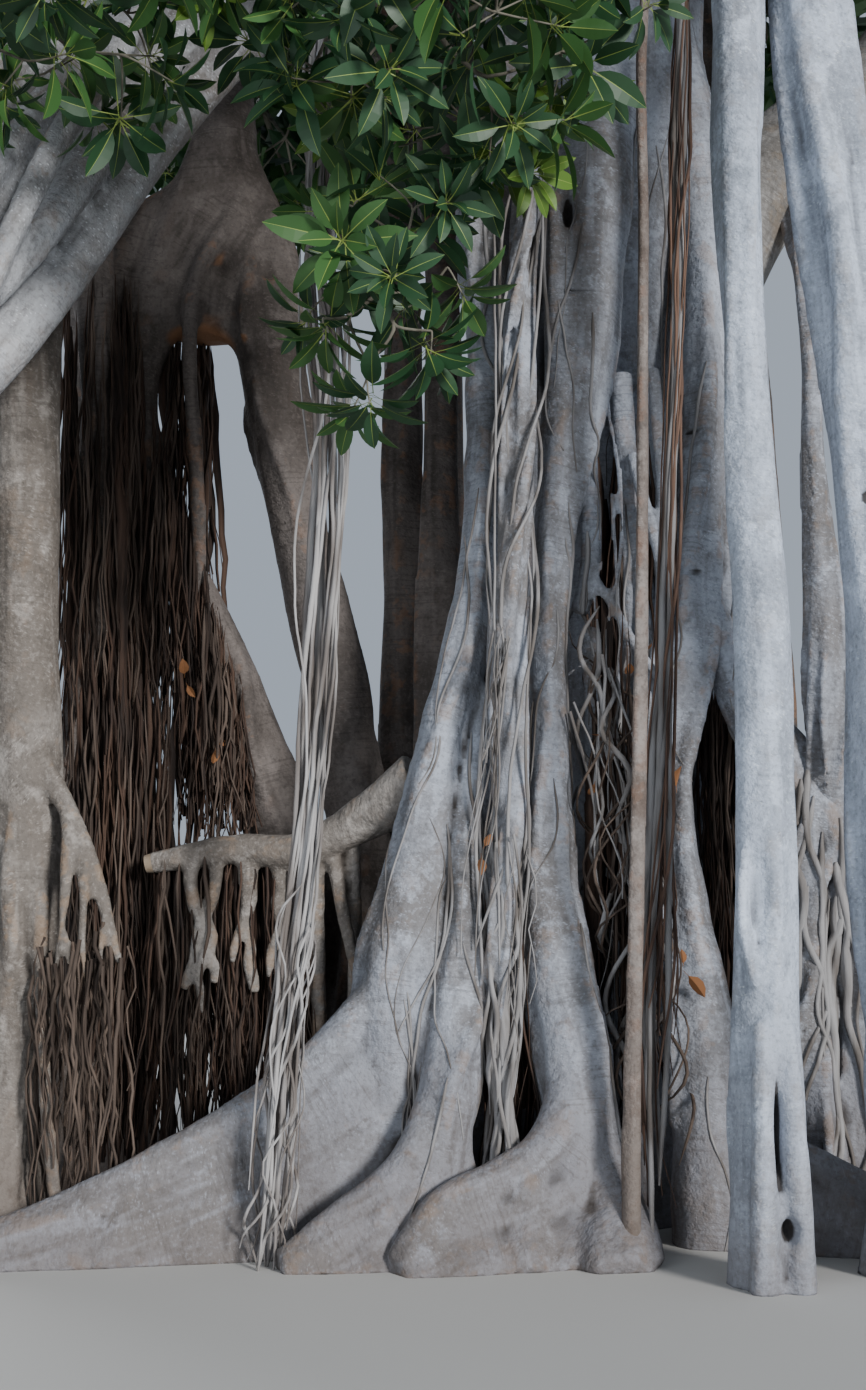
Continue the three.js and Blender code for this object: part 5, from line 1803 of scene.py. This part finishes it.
# Curtains of fibrous roots: strands that hang from a header along the leg above them
CURTAINS = {
    "left_root_curtain": {
        "from": (-2.37, 0.25, 4.33), "to": (-2.15, 0.4, 4.28), "foot": 0.15, "strands": 230, "ragged": 0.2,
    },
    "middle_root_curtain": {
        "from": (-2.11, 0.37, 3.8), "to": (-1.64, 0.44, 2.35), "foot": 1.65, "strands": 190, "ragged": 0.12,
    },
    "web_root_curtain": {
        "from": (-2.04, 0.56, 4.24), "to": (-1.84, 0.54, 4.24), "foot": 2.3, "strands": 60, "ragged": 0.05,
    },
    "low_root_curtain": {
        "from": (-1.99, -0.06, 1.64), "to": (-1.24, -0.12, 1.69), "foot": 0.16, "strands": 260,
        "ragged": 0.04,
    },
    "slim_root_curtain": {
        "from": (-2.47, 0.08, 4.2), "to": (-2.2, 0.12, 4.1), "foot": 0.6, "strands": 60, "ragged": 0.3,
    },
    "foot_root_curtain": {
        "from": (-2.4, 0.0, 2.3), "to": (-1.95, 0.08, 2.0), "foot": 0.12, "strands": 150, "ragged": 0.4,
    },
    "gap_root_curtain": {
        "from": (0.55, 0.0, 2.4), "to": (0.76, 0.08, 2.3), "foot": 0.3, "strands": 60, "ragged": 0.1,
    },
    "niche_root_curtain": {
        "from": (0.0, -0.16, 3.3), "to": (0.32, -0.14, 3.3), "foot": 1.1, "strands": 60, "ragged": 0.3,
    },
    "crevice_root_curtain": {
        "from": (-0.02, -0.5, 2.3), "to": (0.3, -0.48, 2.2), "foot": 0.25, "strands": 40, "ragged": 0.5,
    },
    "hollow_root_curtain": {
        "from": (-0.5, -0.62, 1.3), "to": (-0.3, -0.62, 1.3), "foot": 0.2, "strands": 40, "ragged": 0.2,
    },
}
# The curtains that have a node; the others are only in the scene
CURTAIN_NODES = ("left_root_curtain", "middle_root_curtain", "low_root_curtain")
CURTAIN_DEPTH = 0.09
CLUMPS = 9  # places along a header that its strands gather at


def curtain_lines(plan, count, seed, thick, forward=0.0):
    """Strands that hang in clumps from the header"""
    rng = np.random.default_rng(seed)
    start, end = np.array(plan["from"]), np.array(plan["to"])
    lines = []
    clumps = rng.uniform(0, 1, CLUMPS)
    for _ in range(count):
        share = np.clip(rng.choice(clumps) + rng.normal(0, 0.07), 0, 1)
        top = mixed(start, end, share)
        top[1] += rng.normal(-forward, CURTAIN_DEPTH / 2)
        top[2] += rng.uniform(-1, 1) * plan["ragged"]
        drop = (top[2] - plan["foot"]) * rng.uniform(0.35, 1.0) ** 0.5
        down = np.linspace(0, 1, max(6, int(drop / 0.11)))
        lean = rng.normal(0, 0.05, 2)
        swing = 0.03 * np.sin(down * rng.uniform(3, 9) + rng.uniform(0, 6)) * down
        radius = rng.uniform(*thick) * (1 - 0.6 * down) * np.minimum(1, 9 * down + 0.12)
        x = top[0] + lean[0] * down + swing
        y = top[1] + lean[1] * down
        z = top[2] + 0.04 - drop * down
        lines.append(np.column_stack([x, y, z, radius]))
    return lines


def build_curtains():
    """Dark fibres over a few thick ones, with lighter roots in front"""
    for seed, (name, plan) in enumerate(CURTAINS.items(), 31):
        dark = curtain_lines(plan, plan["strands"], seed, (0.004, 0.013))
        dark += curtain_lines(plan, plan["strands"] // 5, seed + 20, (0.02, 0.045), forward=-0.08)
        curtain = threads(f"{name}_fibres", dark, DARK_FIBRE, sides=3, wander=0.12, wander_size=0.25)
        place_piece(curtain, "root_dark", *([name] if name in CURTAIN_NODES else []))
        brown = curtain_lines(plan, plan["strands"] // 5, seed + 10, (0.004, 0.012), forward=0.06)
        roots = threads(f"{name}_roots", brown, BROWN_FIBRE, sides=5, wander=0.14, wander_size=0.3)
        place_piece(roots, "root_dark")


build_curtains()

# Low sprays that hang in front of the trunk
SPRAYS = {
    "left_spray": {
        "tips": 38,
        "space": {"centre": np.array([-2.2, -2.2, 4.75]), "across": 0.7, "up": 0.52, "down": 0.52},
        "branch": [
            on_bough("left_front", 2.5, 0.062),
            (-2.33, -1.75, 6.65, 0.048),
            (-2.25, -2.15, 5.7, 0.034),
        ],
    },
    "middle_spray": {
        "tips": 62,
        "space": {"centre": np.array([-0.7, -2.15, 4.7]), "across": 0.85, "up": 0.6, "down": 0.6},
        "branch": [
            on_bough("front_left", 2.3, 0.062),
            (-0.82, -2.3, 6.5, 0.048),
            (-0.73, -2.18, 5.65, 0.034),
        ],
    },
    "pendant_spray": {
        "tips": 15,
        "space": {"centre": np.array([-0.9, -1.9, 3.78]), "across": 0.42, "up": 0.56, "down": 0.56},
        "branch": [
            on_bough("front_left", 1.75, 0.048),
            (-0.9, -1.5, 6, 0.036),
            (-0.95, -1.42, 4.9, 0.026),
            (-0.93, -1.6, 4.3, 0.02),
        ],
    },
}
for spray_name, spray in SPRAYS.items():
    limb_piece(f"{spray_name}_branch", spray["branch"], sides=10, Lumps=0.01)
    SPACES[spray_name] = spray["space"]


# Foliage: rosettes of leaves on twigs that grow on from each limb
ROSETTE_KINDS = 4
LEAF_TILTS = (22, 98)  # degrees from the twig, of the youngest leaf and of the oldest
LEAF_FOLD = 0.28  # how far a blade's edges stand up from its middle


def leaf_stations(count):
    """How far along a leaf its cross lines stand, and how wide the leaf is there"""
    u = np.linspace(0, 1, count)
    return u, np.sin(math.pi * u**0.9) ** 0.8


def leaf_faces(stations, row):
    """One leaf's faces, and which are its rib. Two points at its stalk's foot come first, then a row of them
    on each cross line"""
    faces = [[0, 1, *range(row, 2, -1)]]
    ribs = [1]
    for n in range(stations - 1):
        for column in range(row - 1):
            left = 2 + n * row + column
            face = [left, left + 1, left + 1 + row, left + row]
            outer_foot = 0 if column == 0 else 1
            if column in (0, row - 2) and n == 0:
                del face[outer_foot]
            elif column in (0, row - 2) and n == stations - 2:
                del face[3 - outer_foot]
            faces.append(face)
            ribs.append(int(row == 4 and column == 1))
    return faces, ribs


def rosette(name, leaves, length, width, stations, rib, seed):
    """Leaves round a twig's end, which points along +Z: the young ones upright, the old ones spread"""
    rng = np.random.default_rng(seed)
    u, w = leaf_stations(stations)
    axis = np.array([0, 0, 1.0])
    leaf, leaf_ribs = leaf_faces(stations, 4 if rib else 3)
    vertices, faces, ribs = [], [], []
    for k in range(leaves):
        age = k / (leaves - 1)
        angle = k * GOLDEN_TURN + rng.uniform(-0.25, 0.25)
        tilt = math.radians(mixed(*LEAF_TILTS, age**0.75) + rng.uniform(-9, 9))
        size = mixed(0.72, 1.0, min(1, 2 * age)) * rng.uniform(0.85, 1.12)
        bend = rng.uniform(0.15, 0.55)
        out = np.array([math.cos(angle), math.sin(angle), 0])
        across = np.array([-math.sin(angle), math.cos(angle), 0])

        def heading(turned):
            return out * math.sin(turned) + axis * math.cos(turned)

        foot = -axis * 0.3 * length * age
        petiole = length * mixed(0.16, 0.32, age)
        start = foot + heading(tilt) * petiole
        stem = 0.012 * length
        faces += [[len(vertices) + corner for corner in face] for face in leaf]
        ribs += leaf_ribs
        vertices += [foot - across * stem, foot + across * stem]
        for share, wide in zip(u, w):
            turned = tilt + bend * share
            centre = start + heading(tilt + bend * share / 2) * (size * length * share)
            upper = axis * math.sin(turned) - out * math.cos(turned)
            half = 0.5 * width * size * wide
            lift = upper * half * LEAF_FOLD
            narrow = 0.018 * width * (1.3 - share)
            middle = [centre - across * narrow, centre + across * narrow] if rib else [centre]
            vertices += [centre - across * half + lift, *middle, centre + across * half + lift]
    mesh = bpy.data.meshes.new(name)
    mesh.from_pydata([tuple(v) for v in vertices], [], faces)
    mesh.attributes.new("rib", "FLOAT", "FACE").data.foreach_set("value", np.array(ribs, np.float32))
    return bpy.data.objects.new(name, mesh)


def rosette_kinds(label, **sizes):
    """A collection of rosettes of one size that are all different"""
    kinds = bpy.data.collections.new(label)
    for k in range(ROSETTE_KINDS):
        kinds.objects.link(rosette(f"{label}_{k}", seed=60 + k, **sizes))
    return kinds


def dress(net, given):
    """A rosette on each point, turned along the point's axis"""
    kinds = net.add("GeometryNodeCollectionInfo", given["Rosettes"], True, True)
    axis, side = attribute(net, "axis", "FLOAT_VECTOR"), attribute(net, "side", "FLOAT_VECTOR")
    turn = net.add("FunctionNodeAxesToRotation", axis, side)
    scale = net.thrice(attribute(net, "size"))
    return net.add("GeometryNodeInstanceOnPoints", given["Geometry"], Instance=kinds, Pick_Instance=True,
                   Instance_Index=attribute(net, "kind"), Rotation=turn, Scale=scale)


LEAF_TINTS = (("Green", "tint", 1.0), ("Fresh", "tint", 2.0), ("Rib", "rib", 1.0))
FOLIAGE = geometry_tree("rosettes on twigs", {"Rosettes": []}, dress, LEAF_TINTS)
CROWN_ROSETTES = rosette_kinds("crown_rosette", leaves=12, length=0.33, width=0.15, stations=4, rib=False)
NEAR_ROSETTES = rosette_kinds("near_rosette", leaves=13, length=0.195, width=0.078, stations=7, rib=True)
DEAD_ROSETTES = rosette_kinds("dead_leaf", leaves=2, length=0.1, width=0.055, stations=5, rib=True)
# How many limbs, twigs, outer tips and inner tips a mass has, and how far out they end as shares of its reach
CROWN_GROWTH = {
    "limbs": 13,
    "limb_reach": 0.42,
    "twigs": 56,
    "twig_reach": 0.7,
    "tips": 350,
    "tip_reach": (0.74, 0.93),
    "inner": 90,
    "inner_reach": (0.4, 0.7),
    "radii": (0.06, 0.03, 0.012),
    "upward": 0.45,
    "sides": 3,
    "clumped": 0.3,
}
SPRAY_GROWTH = {
    "limbs": 6,
    "limb_reach": 0.35,
    "twigs": 12,
    "twig_reach": 0.6,
    "tip_reach": (0.62, 0.98),
    "inner": 3,
    "inner_reach": (0.2, 0.5),
    "radii": (0.012, 0.008, 0.005),
    "upward": 0.1,
    "sides": 6,
    "clumped": 0.2,
}
STEM_STEP = 0.15
LEAF_REACH = 0.55  # how far a crown rosette's leaves reach from its twig
TINT_SHARES = (0.55, 0.36, 0.09)  # deep green, green and fresh green rosettes
HEMMED_IN = 0.75  # most tips that end nearer than this share, as another mass is in the way, are left out
HEMMED_KEPT = 0.3


def even_directions(count, turn):
    """Directions spread evenly over a ball"""
    k = np.arange(count)
    up = 1 - 2 * (k + 0.5) / count
    flat = np.sqrt(1 - up * up)
    angle = turn + k * GOLDEN_TURN
    return np.stack([flat * np.cos(angle), flat * np.sin(angle), up], axis=1)


def unit(vectors):
    return vectors / np.maximum(np.linalg.norm(vectors, axis=-1, keepdims=True), 1e-9)


def twig(start, leaving, end, thick, thin, points=5):
    """A twig that leaves its parent along a direction and bends to its end"""
    ahead = max(0.2, unit(end - start) @ leaving)
    waist = start + leaving * 0.4 * ahead * np.linalg.norm(end - start)
    t = np.linspace(0, 1, points)[:, None]
    line = (1 - t) ** 2 * start + 2 * t * (1 - t) * waist + t**2 * end
    return np.hstack([line, mixed(thick, thin, t)])


def grow_level(parents, ends, thick, thin):
    """Twigs from the nearest of the parents, each a place and a direction, to each end"""
    places, leaving = parents
    near = np.linalg.norm(ends[:, None] - places[None], axis=2).argmin(axis=1)
    lines = [twig(places[p], leaving[p], end, thick, thin) for p, end in zip(near, ends)]
    return lines, (ends, unit(ends - places[near]))


def rosette_points(name, tips, axis, rng, sizes):
    """A point for each rosette, with its turn, its size, its kind and its tint"""
    count = len(tips)
    side = unit(rng.normal(0, 1, (count, 3)))
    return object_of(name, tips, axis=axis, side=side, size=rng.uniform(*sizes, count),
                     kind=rng.integers(0, ROSETTE_KINDS, count), tint=rng.choice(3, count, p=TINT_SHARES))


def mass_tips(name, growth, limb_ends, rng):
    """The places of a mass's rosettes: most far out, drawn together towards its limbs, and some inside it"""
    outer = even_directions(growth["tips"], rng.uniform(0, 6))
    limb_ways = unit(limb_ends - SPACES[name]["centre"])
    own_limb = limb_ways[(outer @ limb_ways.T).argmax(axis=1)]
    outer = unit(mixed(outer, own_limb, growth["clumped"]) + rng.normal(0, 0.05, outer.shape))
    inner = even_directions(growth["inner"], rng.uniform(0, 6))
    tips, freedom = point_toward(name, outer, rng.uniform(*growth["tip_reach"], growth["tips"]))
    tips = tips[(freedom > HEMMED_IN) | (rng.uniform(0, 1, len(tips)) < HEMMED_KEPT)]
    inner_tips, _ = point_toward(name, inner, rng.uniform(*growth["inner_reach"], growth["inner"]))
    low, high = np.array(cad_box[0]) + LEAF_REACH, np.array(cad_box[1]) - LEAF_REACH
    return np.clip(np.vstack([tips, inner_tips]), low, high)


def build_mass(name, node, entry, growth, rosettes, seed):
    """The bough's end grows on into limbs, twigs and twiglets, with a rosette of leaves on each twiglet"""
    rng = np.random.default_rng(seed)
    centre = SPACES[name]["centre"]
    thick, middling, thin = growth["radii"]

    def even_ends(level):
        ways = even_directions(growth[f"{level}s"], rng.uniform(0, 6))
        return point_toward(name, ways, growth[f"{level}_reach"])[0]

    tip, radius = np.array(entry[:3]), entry[3]
    middle = mixed(tip, centre, 0.5)
    stem = along([entry, (*middle, radius * 0.8), (*centre, radius * 0.5)], STEM_STEP)
    limb_ends = even_ends("limb")
    twig_ends = even_ends("twig")
    tips = mass_tips(name, growth, limb_ends, rng)
    leaving = unit(np.gradient(stem[:, :3], axis=0))
    limbs, limb_nodes = grow_level((stem[:, :3], leaving), limb_ends, thick, middling)
    twigs, twig_nodes = grow_level(limb_nodes, twig_ends, middling, thin)
    both = tuple(np.vstack(pair) for pair in zip(limb_nodes, twig_nodes))
    twiglets, _ = grow_level(both, tips, thin, thin * 0.6)
    lines = [stem, *limbs, *twigs, *twiglets]
    place_piece(threads(f"{node}_twigs", lines, TWIG_BARK, sides=growth["sides"], wander=0.0), "bark_brown")
    axis = unit(np.array([line[-1, :3] - line[-2, :3] for line in twiglets]))
    axis = unit(axis + np.array([0, 0, growth["upward"]]) + rng.normal(0, 0.25, axis.shape))
    points = rosette_points(f"{node}_leaves", tips, axis, rng, (0.8, 1.15))
    use_tree(points, FOLIAGE, Rosettes=rosettes, Material=LEAF_DARK, Green=LEAF_MID, Fresh=LEAF_FRESH,
             Rib=LEAF_RIB)
    place_piece(settled(points), "foliage", node)


# A few dead leaves that lodge among the roots
DEAD_LEAVES = [
    (0.163, -0.5, 2.524),
    (0.005, -0.5, 2.169),
    (0.004, -0.52, 1.99),
    (0.333, -0.52, 1.94),
    (0.267, -0.5, 1.9),
    (-0.5, -0.86, 1.685),
    (0.038, -0.62, 0.904),
    (0.368, -0.62, 1.185),
    (-2.2, 0.1, 2.1),
    (-1.9, 0.25, 2.5),
    (-2.05, 0.2, 1.6),
    (-1.75, 0.3, 2.2),
]


def build_dead_leaves():
    rng = np.random.default_rng(91)
    axis = unit(rng.normal(0, 1, (len(DEAD_LEAVES), 3)) - [0, 0, 0.6])
    points = rosette_points("dead_leaves", DEAD_LEAVES, axis, rng, (0.8, 1.2))
    finishes = {label: LEAF_DEAD for label in ("Material", *(tint[0] for tint in LEAF_TINTS))}
    use_tree(points, FOLIAGE, Rosettes=DEAD_ROSETTES, **finishes)
    place_piece(settled(points), "foliage")


def build_rootlets():
    """Fine roots that hang from the left column's side roots and end on the ground"""
    lines = leaning_lines(40, (-2.17, -0.76, 1.25), 0.075, 1.1, (0.02, -0.03), 0.008, 92)
    lines += leaning_lines(24, (-2.36, -0.72, 1.2), 0.05, 1.1, (0.03, -0.06), 0.008, 93)
    lines = [line[line[:, 2] > 0] for line in lines]
    lines = [line for line in lines if len(line) > 3]
    rootlets = threads("left_column_rootlets", lines, BROWN_FIBRE, wander=0.12, wander_size=0.2)
    place_piece(rootlets, "root_dark")


build_dead_leaves()
build_rootlets()
for mass_seed, (bough_name, bough_stops) in enumerate(BOUGHS.items(), 101):
    build_mass(bough_name, f"{bough_name}_mass", bough_stops[-1], CROWN_GROWTH, CROWN_ROSETTES, mass_seed)
for mass_seed, (spray_name, spray) in enumerate(SPRAYS.items(), 131):
    spray_growth = {**SPRAY_GROWTH, "tips": spray["tips"]}
    build_mass(spray_name, spray_name, spray["branch"][-1], spray_growth, NEAR_ROSETTES, mass_seed)


# Camera, floor and light
CAMERA = {"place": (-0.71, -9.0, 1.55), "tilt": 95.5, "lens": 50, "sensor": 36}
FLOOR = {"size": 90, "colour": (0.62, 0.61, 0.59, 1)}
SKY = {"colour": (0.74, 0.85, 1.0, 1), "strength": 0.5}
# Sun lamps: the way that the light goes, its strength, its angle in degrees and its colour
LAMPS = {
    "key": ((-0.56, 0.83, -0.27), 3.9, 12, (1.0, 0.98, 0.95)),
    "fill": ((0.5, 0.85, -0.1), 1.0, 40, (0.92, 0.96, 1.0)),
    "back light": ((0.35, -0.85, -0.45), 1.1, 30, (0.95, 0.97, 1.0)),
}


def build_camera():
    camera = bpy.data.objects.new("camera", bpy.data.cameras.new("camera"))
    camera.data.lens = CAMERA["lens"]
    camera.data.sensor_width = CAMERA["sensor"]
    camera.location = CAMERA["place"]
    camera.rotation_euler = (math.radians(CAMERA["tilt"]), 0, 0)
    bpy.context.scene.collection.objects.link(camera)
    bpy.context.scene.camera = camera


def build_floor():
    bpy.ops.mesh.primitive_plane_add(size=FLOOR["size"])
    floor = bpy.context.object
    floor.name = "floor"
    finish = material("pale floor")
    net = Net(finish.node_tree)
    output(net, net.add("ShaderNodeBsdfPrincipled", Base_Color=FLOOR["colour"], Roughness=0.9))
    floor.data.materials.append(finish)


def build_light():
    world = bpy.data.worlds.new("soft sky")
    bpy.context.scene.world = world
    world.use_nodes = True
    sky = world.node_tree.nodes["Background"]
    sky.inputs["Color"].default_value = SKY["colour"]
    sky.inputs["Strength"].default_value = SKY["strength"]
    for label, (way, strength, spread, colour) in LAMPS.items():
        lamp = bpy.data.objects.new(label, bpy.data.lights.new(label, "SUN"))
        lamp.data.angle = math.radians(spread)
        lamp.data.energy = strength
        lamp.data.color = colour
        lamp.rotation_mode = "QUATERNION"
        lamp.rotation_quaternion = Vector(way).to_track_quat("-Z", "Y")
        bpy.context.scene.collection.objects.link(lamp)


build_camera()
build_floor()
build_light()
